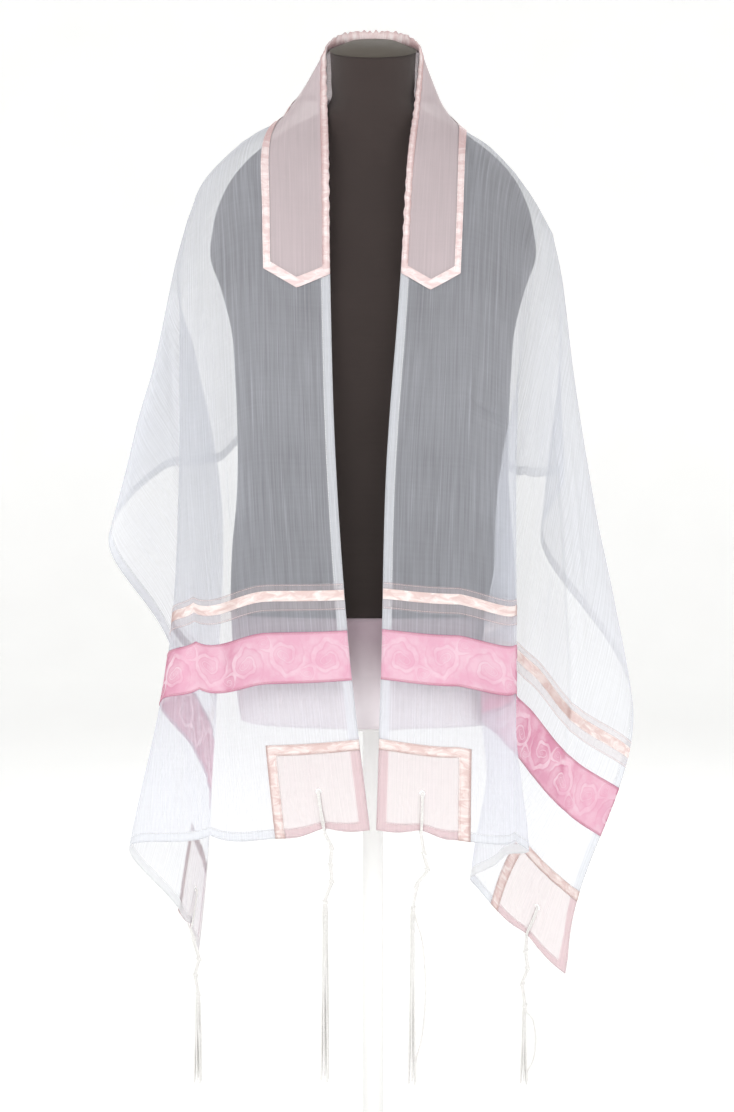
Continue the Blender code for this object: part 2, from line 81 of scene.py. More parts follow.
# Ridge over each shoulder: run along it, then x outward, y and z
ridges = {
    "left": ((0, 53.5, 0, 1288), (35, 71, 1, 1256), (70, 87, 2, 1228), (102, 103, 3, 1207),
             (135, 135, 4, 1190), (170, 166, 3, 1167), (214, 197, 1, 1133), (260, 214, 0, 1092)),
    "right": ((0, 53.5, 0, 1288), (35, 66, 1, 1254), (70, 80, 2, 1221), (102, 100, 3, 1198),
              (135, 130, 4, 1179), (170, 156, 3, 1154), (214, 184, 1, 1117), (260, 207, 0, 1076)),
}

# Lines down which the cloth hangs: kind, its t, angle or s, stretch on the bias, first slope of y,
# then x outward and y at each level of cloth below the ridge
hangs = {
    "left": (
        ("front", 0, 1.00, 0.0, (52.5, -20), (50, -70), (48, -113), (42, -124), (26, -127), (3, -118)),
        ("front", 90, 1.03, -1.0, (139, -46), (136, -84), (131, -98), (124, -98), (108, -104), (86, -96)),
        ("fan", 0, 0.975, -0.8, (216, -26), (216, -36), (213, -42), (202, -56), (186, -76), (172, -84)),
        ("fan", 6, 0.99, -0.5, (220, -18), (222, -22), (223, -26), (234, -36), (276, -54), (305, -60)),
        ("fan", 16, 1.07, 0.0, (224, -6), (218, 10), (206, 32), (206, 42), (226, 28), (240, 8)),
        ("fan", 30, 1.13, 0.2, (227, 8), (208, 44), (182, 88), (188, 106), (202, 106), (205, 100)),
        ("fan", 43, 1.07, 0.3, (230, 16), (232, 34), (238, 60), (252, 90), (270, 110), (280, 120)),
        ("fan", 57, 1.04, 0.4, (231, 22), (250, 28), (290, 40), (345, 62), (390, 80), (440, 100)),
        ("fan", 75, 1.00, 0.8, (224, 36), (232, 74), (250, 132), (262, 190), (270, 240), (280, 280)),
        ("fan", 90, 1.00, 1.0, (212, 46), (206, 82), (198, 114), (192, 130), (190, 130), (190, 130)),
        ("back", 205, 1.00, 1.0, (176, 52), (168, 98), (160, 134), (152, 154), (150, 160), (150, 160)),
        ("back", 140, 1.00, 1.0, (106, 56), (108, 106), (106, 118), (100, 120), (100, 120), (100, 120)),
        ("back", 85, 1.00, 0.6, (64, 40), (74, 96), (74, 130), (68, 146), (66, 150), (66, 150)),
        ("back", 45, 1.00, 0.3, (38, 54), (40, 104), (38, 132), (34, 148), (32, 150), (32, 150)),
        ("back", 0, 1.00, 0.0, (0, 66), (0, 108), (0, 120), (0, 122), (0, 122), (0, 122)),
    ),
    "right": (
        ("front", 0, 1.00, 0.0, (48.5, -22), (39, -72), (30, -113), (15, -124), (9, -127), (3, -118)),
        ("front", 90, 1.02, -1.0, (116, -48), (110, -88), (103, -106), (97, -110), (94, -110), (92, -104)),
        ("front", 158, 0.99, -0.9, (175, -39), (167, -66), (161, -83), (161, -88), (161, -81), (166, -76)),
        ("front", 163, 0.99, -0.9, (179, -35), (169, -62), (160, -78), (160, -83), (164, -76), (170, -71)),
        ("fan", 0, 1.00, -0.7, (196, -22), (176, -48), (142, -77), (142, -87), (177, -64), (184, -56)),
        ("fan", 3.2, 1.01, -0.5, (199, -17), (183, -38), (157, -65), (122, -95), (153, -50), (156, -24)),
        ("fan", 5.2, 1.02, -0.4, (201, -14), (185, -33), (161, -58), (123, -81), (141, -37), (143, -6)),
        ("fan", 8, 1.03, -0.3, (204, -10), (192, -24), (176, -44), (150, -69), (118, -22), (112, 10)),
        ("fan", 14, 1.06, 0.0, (209, -2), (202, -8), (198, -20), (184, -44), (128, 34), (124, 50)),
        ("fan", 24, 1.11, 0.2, (215, 8), (216, 12), (230, 14), (236, 10), (224, 50), (266, 60)),
        ("fan", 38, 1.10, 0.3, (220, 16), (234, 30), (262, 48), (306, 58), (330, 60), (350, 64)),
        ("fan", 59, 1.04, 0.5, (220, 30), (222, 58), (208, 104), (196, 150), (190, 170), (190, 190)),
        ("fan", 75, 1.02, 0.8, (214, 40), (218, 88), (232, 154), (236, 190), (236, 200), (236, 200)),
        ("fan", 90, 1.00, 1.0, (206, 46), (198, 82), (184, 114), (178, 128), (178, 132), (178, 132)),
        ("back", 205, 1.00, 1.0, (160, 54), (154, 98), (146, 136), (140, 158), (140, 162), (140, 162)),
        ("back", 140, 1.00, 1.0, (96, 54), (102, 106), (100, 118), (96, 120), (96, 120), (96, 120)),
        ("back", 85, 1.00, 0.6, (62, 40), (70, 96), (68, 130), (62, 146), (60, 150), (60, 150)),
        ("back", 45, 1.00, 0.3, (38, 54), (40, 104), (36, 130), (32, 148), (30, 150), (30, 150)),
        ("back", 0, 1.00, 0.0, (0, 66), (0, 108), (0, 120), (0, 122), (0, 122), (0, 122)),
    ),
}


def hermite(stations, values, at, firstSlope=None):
    stations = np.array(stations, float)
    values = np.array(values, float)
    gap = np.diff(stations)
    rise = np.diff(values) / gap
    slopes = np.empty(len(values))
    slopes[0] = rise[0] if firstSlope is None else firstSlope
    slopes[-1] = rise[-1]
    slopes[1:-1] = (rise[:-1] * gap[1:] + rise[1:] * gap[:-1]) / (gap[:-1] + gap[1:])
    i = np.clip(np.searchsorted(stations, at) - 1, 0, len(gap) - 1)
    u = (at - stations[i]) / gap[i]
    start = (2 * u ** 3 - 3 * u * u + 1) * values[i] + (u ** 3 - 2 * u * u + u) * gap[i] * slopes[i]
    end = (3 * u * u - 2 * u ** 3) * values[i + 1] + (u ** 3 - u * u) * gap[i] * slopes[i + 1]
    return start + end


def ridgePoints(side, run):
    runs = [row[0] for row in ridges[side]]
    return np.stack([hermite(runs, [row[j] for row in ridges[side]], run) for j in (1, 2, 3)], -1)


def neckPoints(s):
    angle = s / drape["neckQuarter"] * math.pi / 2
    y = drape["neckRadius"] * np.cos(angle)
    return np.stack([drape["neckRadius"] * np.sin(angle), y, drape["neckHeight"] + drape["neckTilt"] * y], -1)


def hangLine(side, row):
    kind, key, give, lean = row[:4]
    if kind == "back" and key < drape["neckQuarter"]:
        top = neckPoints(np.array(float(key)))
    else:
        run = {"front": key, "fan": drape["apex"], "back": key - drape["neckQuarter"]}[kind]
        top = ridgePoints(side, np.array(run * math.sqrt(2)))
    down = np.arange(0.0, drape["length"] + 1, drape["step"])
    x = hermite(drape["levels"], [top[0]] + [p[0] for p in row[4:]], down)
    y = hermite(drape["levels"], [top[1]] + [p[1] for p in row[4:]], down, lean)
    across = np.diff(x) ** 2 + np.diff(y) ** 2
    fall = np.sqrt(np.maximum(drape["step"] ** 2 - across, 0.0)) * give
    return np.stack([x, y, top[2] - np.concatenate([[0.0], np.cumsum(fall)])], -1)


def hangOrder(kind, key):
    if kind == "front":
        return key
    if kind == "fan":
        return drape["apex"] + key
    return 2 * drape["apex"] + 90 + drape["neckQuarter"] - key


orders = {side: np.array([hangOrder(*row[:2]) for row in hangs[side]], float) for side in hangs}
hangLines = {side: [hangLine(side, row) for row in hangs[side]] for side in hangs}
spreadLines = {}  # each side's lines, with one before the front edge and two past the centre back
for side, other in (("left", "right"), ("right", "left")):
    lines = hangLines[side]
    past = [hangLines[other][-2] * (-1, 1, 1), hangLines[other][-3] * (-1, 1, 1)]
    spreadLines[side] = np.array([2 * lines[0] - lines[1]] + lines + past)


def spline(p, u):
    knots = [np.zeros(len(u))]
    for a, b in zip(p, p[1:]):
        knots.append(knots[-1] + np.sqrt(np.maximum(np.linalg.norm(b - a, axis=-1), 0.001)))
    at = knots[1] + (knots[2] - knots[1]) * u

    def mix(a, b, low, high):
        share = ((at - low) / (high - low))[:, None]
        return a + (b - a) * share

    a1 = mix(p[0], p[1], knots[0], knots[1])
    a2 = mix(p[1], p[2], knots[1], knots[2])
    a3 = mix(p[2], p[3], knots[2], knots[3])
    return mix(mix(a1, a2, knots[0], knots[2]), mix(a2, a3, knots[1], knots[3]), knots[1], knots[2])


def betweenLines(side, place, down):
    order, lines = orders[side], spreadLines[side]
    i = np.clip(np.searchsorted(order, place) - 1, 0, len(order) - 2)
    level = np.clip(down / drape["step"], 0.0, lines.shape[1] - 1.001)
    low = level.astype(int)
    share = (level - low)[:, None]
    near = [lines[i + k, low] + (lines[i + k, low + 1] - lines[i + k, low]) * share for k in range(4)]
    return spline(near, (place - order[i]) / (order[i + 1] - order[i]))


def clothPoints(s, t):
    s, t = np.broadcast_arrays(np.asarray(s, float), np.asarray(t, float))
    points = np.empty(s.shape + (3,))
    quarter, apex = drape["neckQuarter"], drape["apex"]
    for side, there in (("left", s < 0), ("right", s >= 0)):
        run, across = np.abs(s[there]), t[there]
        fan = (run >= quarter + apex) & (across >= apex)
        front = ~fan & (across < apex) & (run - quarter > across)
        angle = np.degrees(np.arctan2(across - apex, run - quarter - apex))
        place = np.where(fan, apex + angle, np.where(front, across, 2 * apex + 90 + quarter - run))
        downFan = np.hypot(across - apex, run - quarter - apex)
        downBack = across - np.maximum(0, run - quarter)
        down = np.where(fan, downFan, np.where(front, run - quarter - across, downBack))
        along = np.where(fan, apex, np.where(front, across, np.maximum(run - quarter, 0)))
        top = ridgePoints(side, along * math.sqrt(2))
        neck = ~fan & ~front & (run < quarter)
        top[neck] = neckPoints(run[neck])
        found = betweenLines(side, place, down)
        shift = top - betweenLines(side, place, np.zeros(len(down)))
        found = found + shift * np.exp(-down / drape["ridgeFade"])[:, None]
        found[:, 0] *= 1 if side == "right" else -1
        points[there] = found
    fromHem = shawl["halfLength"] - np.abs(s)
    lift = np.maximum(0, 1 - fromHem / shawl["liftLength"]) ** 2
    fromNotch = np.minimum(np.abs(t - shawl["eyelet"]), np.abs(t - shawl["width"] + shawl["eyelet"]))
    points[..., 2] += shawl["hemLift"] * lift * np.exp(-(fromNotch / shawl["liftReach"]) ** 2)
    return points


def stationsBetween(breaks, step):
    stations = [breaks[0]]
    for low, high in zip(breaks, breaks[1:]):
        count = max(1, round((high - low) / step))
        stations += [low + (high - low) * k / count for k in range(1, count + 1)]
    return stations


# Grid over the flat shawl, with a line on every edge of a trim, hem or eyelet
end, width, hem, corner, trim = (shawl[key] for key in ("halfLength", "width", "hem", "corner", "trim"))
eyeletLow = shawl["eyelet"] - shawl["eyeletSize"] / 2
eyeletHigh = shawl["eyelet"] + shawl["eyeletSize"] / 2
bandLow, bandHigh = shawl["bandS"]
halfRows = stationsBetween((
    0, shawl["ataraEnd"] - trim, shawl["ataraEnd"], shawl["casingS"][0], *shawl["ribbonS"], shawl["casingS"][1],
    bandLow, bandLow + shawl["bandTurn"], bandHigh - shawl["bandTurn"], bandHigh, end - corner,
    end - corner + trim, end - eyeletHigh, end - eyeletLow, end - hem, end), shawl["cell"])
rows = np.array([-s for s in reversed(halfRows[1:])] + halfRows)
columns = np.array(stationsBetween((
    0, shawl["neckTrim"], hem, eyeletLow, eyeletHigh, shawl["ataraWidth"] - shawl["neckTrim"],
    shawl["ataraWidth"], corner - trim, corner, drape["apex"], width - corner, width - corner + trim,
    width - eyeletHigh, width - eyeletLow, width - hem, width), shawl["cell"]))
gridS, gridT = np.meshgrid(rows, columns, indexing="ij")

# The ends of the neckband are drawn out to a point, and the rows beside them follow
fromPoint = np.abs(np.abs(gridS) - shawl["ataraEnd"] + trim / 2) - trim / 2
pull = np.clip(1 - np.maximum(fromPoint, 0) / shawl["pointReach"], 0, 1)
half = shawl["ataraWidth"] / 2
gridS = gridS + np.sign(gridS) * shawl["ataraPoint"] * pull * np.maximum(0, 1 - np.abs(gridT - half) / half)

# The four eyelets are round
for sign in (-1, 1):
    for centreT in (shawl["eyelet"], shawl["width"] - shawl["eyelet"]):
        fromS = gridS - sign * (shawl["halfLength"] - shawl["eyelet"])
        fromT = gridT - centreT
        reach = np.maximum(np.abs(fromS), np.abs(fromT))
        size = shawl["eyeletSize"] / 2
        bend = np.where(reach <= size * 1.01, 1.0, np.clip(2 - reach / size, 0, 1))
        toCircle = np.where(reach > 0.01, size / np.maximum(np.hypot(fromS, fromT), 0.01), 1.0)
        share = np.where(np.abs(reach - size) < 0.1, bend, 0.0)
        gridS = gridS + fromS * (toCircle - 1) * share
        gridT = gridT + fromT * (toCircle - 1) * share

points = clothPoints(gridS, gridT)


def gridNormals(grid):
    alongS = np.gradient(grid, axis=0)
    alongT = np.gradient(grid, axis=1)
    normals = np.cross(alongS, alongT)
    return normals / np.maximum(np.linalg.norm(normals, axis=-1, keepdims=True), 1e-9)


# Creases and soft waves pressed into the cloth: depth (outward is plus), half width, and the
# line that each follows as (s, t)
creases = (
    # right front: edge of the pleat, the small bowed crease and long soft waves
    (1.8, 2.8, (404, 80), (440, 87), (510, 97), (600, 108), (690, 121)),
    (-2.6, 3.0, (499, 84), (509, 98), (515, 116), (513, 134), (505, 150)),
    (1.5, 2.6, (521, 90), (529, 112), (527, 140)),
    (2.2, 9.0, (430, 30), (560, 34), (760, 38)),
    (-2.0, 8.0, (520, 58), (700, 66), (880, 70)),
    (2.4, 10.0, (600, 96), (760, 104), (960, 112)),
    (-1.6, 5.0, (380, 120), (470, 128), (560, 131)),
    # right side flap: the long crease from the shoulder and two beside it
    (-4.2, 6.0, (400, 226), (470, 256), (540, 292), (620, 330), (715, 378), (800, 408), (880, 430)),
    (2.8, 7.0, (420, 258), (520, 312), (620, 358), (700, 398)),
    (2.2, 12.0, (330, 300), (420, 352), (520, 402), (600, 440)),
    (-2.4, 9.0, (620, 250), (720, 276), (850, 300), (960, 312)),
    (1.8, 6.0, (760, 350), (860, 366), (960, 380)),
    # left front
    (2.0, 9.0, (-400, 36), (-560, 44), (-720, 46)),
    (-2.2, 10.0, (-480, 74), (-650, 80), (-860, 84)),
    (2.6, 8.0, (-450, 112), (-600, 118), (-780, 122)),
    (-2.4, 11.0, (-640, 142), (-800, 150), (-960, 158)),
    (1.8, 5.0, (-330, 140), (-420, 152), (-520, 158)),
    (2.6, 12.0, (-700, 196), (-820, 206), (-970, 214)),
    (-2.0, 9.0, (-780, 236), (-880, 250), (-980, 262)),
    # left side flap
    (2.4, 8.0, (-380, 240), (-480, 286), (-590, 330), (-700, 372)),
    (-3.0, 7.0, (-340, 270), (-430, 330), (-520, 388), (-600, 436)),
    (1.8, 9.0, (-320, 330), (-390, 386), (-450, 440), (-490, 476)),
    (-2.0, 6.0, (-560, 250), (-680, 286), (-820, 316)),
    (2.2, 7.0, (-700, 420), (-800, 436), (-930, 446)),
    # shoulders: small crinkles beside the neckband
    (1.5, 3.0, (118, 92), (150, 104), (190, 112)),
    (1.2, 2.4, (132, 118), (160, 126), (186, 140)),
    (1.4, 3.2, (176, 96), (214, 100), (262, 98)),
    (1.2, 2.6, (202, 124), (240, 134), (270, 150)),
    (1.3, 3.0, (-128, 96), (-166, 104), (-214, 108)),
    (1.1, 2.6, (-160, 126), (-196, 138), (-230, 156)),
    (1.5, 3.6, (-232, 100), (-290, 106), (-340, 112)),
    # back: flutes that hang from the shoulders
    (3.2, 11.0, (12, 120), (16, 260), (14, 470)),
    (-2.8, 10.0, (52, 90), (58, 250), (62, 430)),
    (3.6, 13.0, (96, 130), (104, 300), (108, 486)),
    (-2.4, 9.0, (146, 150), (150, 280), (152, 400)),
    (2.8, 11.0, (192, 170), (198, 330), (204, 480)),
    (-3.0, 12.0, (246, 210), (256, 340), (262, 490)),
    (2.4, 8.0, (300, 260), (322, 370), (334, 470)),
    (-3.0, 11.0, (-30, 110), (-34, 280), (-30, 480)),
    (2.6, 9.0, (-78, 100), (-84, 240), (-88, 400)),
    (-3.4, 13.0, (-126, 140), (-134, 300), (-140, 490)),
    (2.8, 10.0, (-176, 150), (-186, 290), (-190, 430)),
    (-2.2, 9.0, (-226, 190), (-238, 330), (-246, 470)),
    (3.0, 12.0, (-282, 230), (-300, 350), (-312, 486)),
    # puckers that the tassels draw into the hems
    (-1.8, 3.4, (1000, 50), (984, 50), (958, 50)),
    (1.6, 4.0, (1000, 40), (978, 33), (950, 22)),
    (1.8, 4.4, (1000, 61), (974, 70), (944, 84)),
    (1.2, 3.4, (998, 74), (984, 90), (972, 106)),
    (-1.8, 3.4, (-1000, 50), (-984, 50), (-958, 50)),
    (1.7, 4.2, (-1000, 39), (-976, 31), (-948, 20)),
    (1.6, 4.0, (-1000, 62), (-976, 72), (-950, 88)),
    (1.2, 3.2, (-998, 76), (-986, 92), (-974, 104)),
    (-2.4, 3.4, (1000, 450), (970, 450), (925, 449), (880, 446)),
    (1.8, 4.0, (1000, 438), (972, 428), (936, 418)),
    (1.6, 4.0, (1000, 462), (976, 472), (952, 484)),
    (-2.0, 3.4, (-1000, 450), (-972, 450), (-930, 451)),
    (1.8, 4.2, (-1000, 439), (-974, 428), (-940, 414)),
    (1.5, 3.8, (-1000, 461), (-978, 472), (-958, 486)),
)

# Wavy edge where the neckband is stitched: how far it weaves in t, and how far it gathers at the back
neckEdge = {"weave": 0.7, "gather": 4.0, "backLift": 9.0, "wave": 15.0, "gatherWave": 8.5, "backReach": 62.0,
            "fade": 16.0}


def creaseHeights(s, t):
    heights = np.zeros(s.shape)
    for row in creases:
        depth, spread, path = row[0], row[1], np.array(row[2:], float)
        runs = np.concatenate([[0], np.cumsum(np.linalg.norm(np.diff(path, axis=0), axis=1))])
        fine = np.linspace(0, runs[-1], max(12, int(runs[-1] / 4)))
        line = np.stack([hermite(runs, path[:, k], fine) for k in (0, 1)], -1)
        low, high = line.min(0) - 3 * spread, line.max(0) + 3 * spread
        near = np.argwhere((s > low[0]) & (s < high[0]) & (t > low[1]) & (t < high[1]))
        for chunk in np.array_split(near, len(near) // 4000 + 1):
            here = np.stack([s[chunk[:, 0], chunk[:, 1]], t[chunk[:, 0], chunk[:, 1]]], -1)
            away = np.linalg.norm(here[:, None] - line[None], axis=2)
            nearest = away.argmin(1)
            share = nearest / (len(fine) - 1)
            ends = 1.0 if abs(path[0, 0]) >= 998 else 0.0  # a pucker starts full at the hem
            swell = np.where(share < 0.5, np.maximum(ends, np.sin(math.pi * share)), np.sin(math.pi * share))
            heights[chunk[:, 0], chunk[:, 1]] += depth * swell * np.exp(-(away.min(1) / spread) ** 2)
    return heights


normals = gridNormals(points)
nearNeck = np.exp(-gridT / neckEdge["fade"]) * np.clip((shawl["ataraEnd"] - np.abs(gridS)) / 20, 0, 1)
weave = neckEdge["weave"] * np.sin(gridS / neckEdge["wave"] * 2 * math.pi + 2.6 * np.sin(gridS / 31))
weave = weave * (0.55 + 0.45 * np.sin(gridS / 23 + 1.0))
atBack = np.exp(-(gridS / neckEdge["backReach"]) ** 4)
gatherTurn = gridS / neckEdge["gatherWave"] * math.pi + np.sin(gridS / 21)
gather = neckEdge["gather"] * atBack * np.abs(np.sin(gatherTurn))
inward = np.gradient(points, axis=1)
inward /= np.maximum(np.linalg.norm(inward, axis=-1, keepdims=True), 1e-9)
points = points - inward * (nearNeck * (weave + gather))[..., None]
points[..., 2] += nearNeck * atBack * neckEdge["backLift"]
points = points + normals * (creaseHeights(gridS, gridT) + nearNeck * 0.5 * np.abs(weave))[..., None]
normals = gridNormals(points)
print("cloth grid", points.shape[0], "x", points.shape[1])


# A place on the cloth, and how far out of it
def onCloth(s, t, out=0.0):
    i = np.interp(s, rows, np.arange(len(rows)))
    j = np.interp(t, columns, np.arange(len(columns)))
    low, left = min(int(i), len(rows) - 2), min(int(j), len(columns) - 2)
    u, v = i - low, j - left
    place = np.zeros(3)
    for a, shareA in ((low, 1 - u), (low + 1, u)):
        for b, shareB in ((left, 1 - v), (left + 1, v)):
            place += (points[a, b] + normals[a, b] * out) * shareA * shareB
    return place


def cellsBetween(lowS, highS, lowT, highT):
    cells = np.zeros((len(rows) - 1, len(columns) - 1), bool)
    inS = (rows[:-1] >= lowS - 0.01) & (rows[1:] <= highS + 0.01)
    inT = (columns[:-1] >= lowT - 0.01) & (columns[1:] <= highT + 0.01)
    cells[np.ix_(inS, inT)] = True
    return cells


def link(name, mesh):
    thing = bpy.data.objects.new(name, mesh)
    scene.collection.objects.link(thing)
    return thing


# Cloth over some cells. outer is the face that shows and under, where there is any, is the second
# layer, joined to it along the edges that both have: all of it for a ribbon, a rim for a turned hem
def clothPiece(name, outer, under, outerOut, underOut, materials, pickMaterial=None):
    faces, picks, numbers, places, uvs = [], [], {}, [], []

    def numberOf(i, j, layer):
        key = (i, j, layer)
        if key not in numbers:
            numbers[key] = len(places)
            places.append((points[i, j] + normals[i, j] * (underOut if layer else outerOut)) * mm)
            uvs.append((abs(gridS[i, j]) * mm, gridT[i, j] * mm))
        return numbers[key]

    def edgesOf(cells):
        edges = set()
        for i, j in np.argwhere(cells):
            loop = ((i, j), (i + 1, j), (i + 1, j + 1), (i, j + 1))
            edges.update(zip(loop, loop[1:] + loop[:1]))
        return {(a, b) for a, b in edges if (b, a) not in edges}

    for layer, cells in ((0, outer), (1, under)):
        if cells is None:
            continue
        for i, j in np.argwhere(cells):
            loop = [numberOf(a, b, layer) for a, b in ((i, j), (i + 1, j), (i + 1, j + 1), (i, j + 1))]
            faces.append(loop[::-1] if layer else loop)
            picks.append(pickMaterial(i, j, layer) if pickMaterial else 0)
    if under is not None:
        for a, b in edgesOf(outer) & edgesOf(under):
            faces.append([numberOf(*b, 0), numberOf(*a, 0), numberOf(*a, 1), numberOf(*b, 1)])
            picks.append(pickMaterial(min(a[0], b[0]), min(a[1], b[1]), 1) if pickMaterial else 0)
    mesh = bpy.data.meshes.new(name)
    mesh.from_pydata(places, [], faces)
    for material in materials:
        mesh.materials.append(material)
    mesh.polygons.foreach_set("material_index", picks)
    mesh.polygons.foreach_set("use_smooth", [True] * len(faces))
    layerUv = mesh.uv_layers.new(name="cloth")
    corners = np.empty(len(mesh.loops), int)
    mesh.loops.foreach_get("vertex_index", corners)
    layerUv.data.foreach_set("uv", np.array(uvs)[corners].ravel())
    mesh.update()
    return link(name, mesh)


# sRGB hex to linear
def hexColor(text):
    values = [int(text[k:k + 2], 16) / 255 for k in (0, 2, 4)]
    return tuple(v / 12.92 if v <= 0.04045 else ((v + 0.055) / 1.055) ** 2.4 for v in values) + (1.0,)


# Sets or links a node's inputs. A node among the values stands for that node's first output
def feed(tree, node, inputs):
    for key, value in inputs.items() if isinstance(inputs, dict) else enumerate(inputs):
        if isinstance(value, bpy.types.Node):
            value = value.outputs[0]
        if isinstance(value, bpy.types.NodeSocket):
            tree.links.new(value, node.inputs[key])
        elif value is not None:
            node.inputs[key].default_value = value


def addNode(tree, kind, inputs=(), **settings):
    node = tree.nodes.new(kind)
    for name, value in settings.items():
        setattr(node, name, value)
    feed(tree, node, inputs)
    return node


def newMaterial(name):
    material = bpy.data.materials.new(name)
    material.use_nodes = True
    tree = material.node_tree
    return material, tree, tree.nodes["Principled BSDF"]


# Thread thickness and slubs of a sheer cloth, from the piece's own UV map in metres: u runs along
# the shawl. Returns the nodes that the materials share
def slubs(tree, count):
    uv = addNode(tree, "ShaderNodeUVMap", uv_map="cloth").outputs[0]
    long = addNode(tree, "ShaderNodeMapping", [uv, None, None, (9, count, 1)])
    streaks = addNode(tree, "ShaderNodeTexNoise", {"Vector": long, "Scale": 1.0, "Detail": 3.0,
                                                   "Roughness": 0.62}, noise_dimensions="2D")
    cross = addNode(tree, "ShaderNodeMapping", [uv, (3, 7, 0), None, (count * 0.8, 14, 1)])
    weft = addNode(tree, "ShaderNodeTexNoise", {"Vector": cross, "Scale": 1.0, "Detail": 2.0},
                   noise_dimensions="2D")
    rare = addNode(tree, "ShaderNodeMapping", [uv, (11, 5, 0), None, (7, count * 1.7, 1)])
    thick = addNode(tree, "ShaderNodeTexNoise", {"Vector": rare, "Scale": 1.0, "Detail": 1.0},
                    noise_dimensions="2D")
    slub = addNode(tree, "ShaderNodeMapRange", {"Value": thick, "From Min": 0.62, "From Max": 0.74})
    clouds = addNode(tree, "ShaderNodeTexNoise", {"Vector": uv, "Scale": 14.0, "Detail": 3.0},
                     noise_dimensions="2D")
    both = addNode(tree, "ShaderNodeMath", [weft, 0.14, streaks], operation="MULTIPLY_ADD")
    return both, slub, clouds


# Organza: plain weave of hard-twisted raw silk with its gum left in. It reads as a crisp clear haze
# with fine lengthwise slubs, denser where it is seen edge on
def organza(name, color, cover, slubDepth, count=420.0):
    material, tree, shader = newMaterial(name)
    threadsOut, slub, clouds = slubs(tree, count)
    swing = slubDepth * 0.6
    tone = addNode(tree, "ShaderNodeMapRange", {"Value": threadsOut, "From Min": 0.30, "From Max": 0.84,
                                                "To Min": cover - swing, "To Max": cover + swing})
    withSlub = addNode(tree, "ShaderNodeMath", [slub, slubDepth * 0.8, tone], operation="MULTIPLY_ADD")
    soft = addNode(tree, "ShaderNodeMath", [clouds, 0.08, withSlub], operation="MULTIPLY_ADD")
    facing = addNode(tree, "ShaderNodeLayerWeight", {"Blend": 0.30})
    edge = addNode(tree, "ShaderNodeMath", [facing.outputs["Facing"], 2.6], operation="POWER")
    dense = addNode(tree, "ShaderNodeMath", [edge, 0.75, soft], operation="MULTIPLY_ADD", use_clamp=True)
    feed(tree, shader, {"Base Color": hexColor(color), "Roughness": 0.55, "Specular IOR Level": 0.35,
                        "Sheen Weight": 0.25, "Sheen Roughness": 0.4})
    through = addNode(tree, "ShaderNodeBsdfTranslucent", [hexColor(color)])
    cloth = addNode(tree, "ShaderNodeMixShader", [0.42, shader, through])
    clear = addNode(tree, "ShaderNodeBsdfTransparent", [(0.998, 0.994, 0.976, 1.0)])
    mixed = addNode(tree, "ShaderNodeMixShader", [dense, clear, cloth])
    tree.links.new(mixed.outputs[0], tree.nodes["Material Output"].inputs[0])
    return material


# Polyester satin ribbon: long floats give a smooth gloss. Its colour holds painted glints, small warm
# highlights where the ribbon is a little crumpled, and painted shade, a deeper rose where it is seen along the
# cloth
def satin(name, dark, light, turned):
    material, tree, shader = newMaterial(name)
    uv = addNode(tree, "ShaderNodeUVMap", uv_map="cloth").outputs[0]
    fine = addNode(tree, "ShaderNodeMapping", [uv, None, None, (150, 60, 1)])
    crumple = addNode(tree, "ShaderNodeTexNoise", {"Vector": fine, "Scale": 1.0, "Detail": 3.0,
                                                   "Roughness": 0.6, "Distortion": 0.6}, noise_dimensions="2D")
    # Painted glints: small pale highlights mixed into the colour by the crumple noise
    paintedGlints = addNode(tree, "ShaderNodeMapRange", {"Value": crumple, "From Min": 0.40, "From Max": 0.66})
    flat = addNode(tree, "ShaderNodeMix", {0: paintedGlints, 6: hexColor(dark), 7: hexColor(light)},
                   data_type="RGBA")
    # Painted shade: the colour turns to a deeper rose as the ribbon turns from view
    facing = addNode(tree, "ShaderNodeLayerWeight", {"Blend": 0.5})
    oblique = addNode(tree, "ShaderNodeMapRange", {"Value": facing.outputs["Facing"], "From Min": 0.16,
                                                   "From Max": 0.62, "To Max": 0.85})
    color = addNode(tree, "ShaderNodeMix", {0: oblique, 6: flat.outputs[2], 7: hexColor(turned)},
                    data_type="RGBA")
    weave = addNode(tree, "ShaderNodeMapping", [uv, None, None, (2400, 2400, 1)])
    floats = addNode(tree, "ShaderNodeTexWave", {"Vector": weave, "Scale": 0.5, "Distortion": 0.4},
                     bands_direction="DIAGONAL")
    height = addNode(tree, "ShaderNodeMath", [floats.outputs["Fac"], 0.08, crumple], operation="MULTIPLY_ADD")
    bump = addNode(tree, "ShaderNodeBump", {"Strength": 0.7, "Distance": 0.0012, "Height": height})
    feed(tree, shader, {"Base Color": color.outputs[2], "Normal": bump, "Roughness": 0.34,
                        "Specular IOR Level": 0.6, "Sheen Weight": 0.2, "Sheen Roughness": 0.3})
    return material


# Jacquard satin: the motif is woven in the same thread as its ground, so it shows as a change of
# gloss and tone. Painted sheen and shade, set by the viewing angle, keep it soft where the cloth faces the eye
# and make it strong on a deep ground where it turns away.
# The scrolls turn about a centre every 48 mm, with a small curl between each two. Each row below is
# a set of them: offset along, size, offset across, way of turning, lobes and how far they swell
scrollEvery = 48.0
scrollRows = ((0.0, 24.0, 3.0, 1.0, 5.0, 0.05), (0.5, 12.0, -16.0, -1.0, 2.0, 0.12))
bandMiddle = (bandLow + bandHigh) / 2


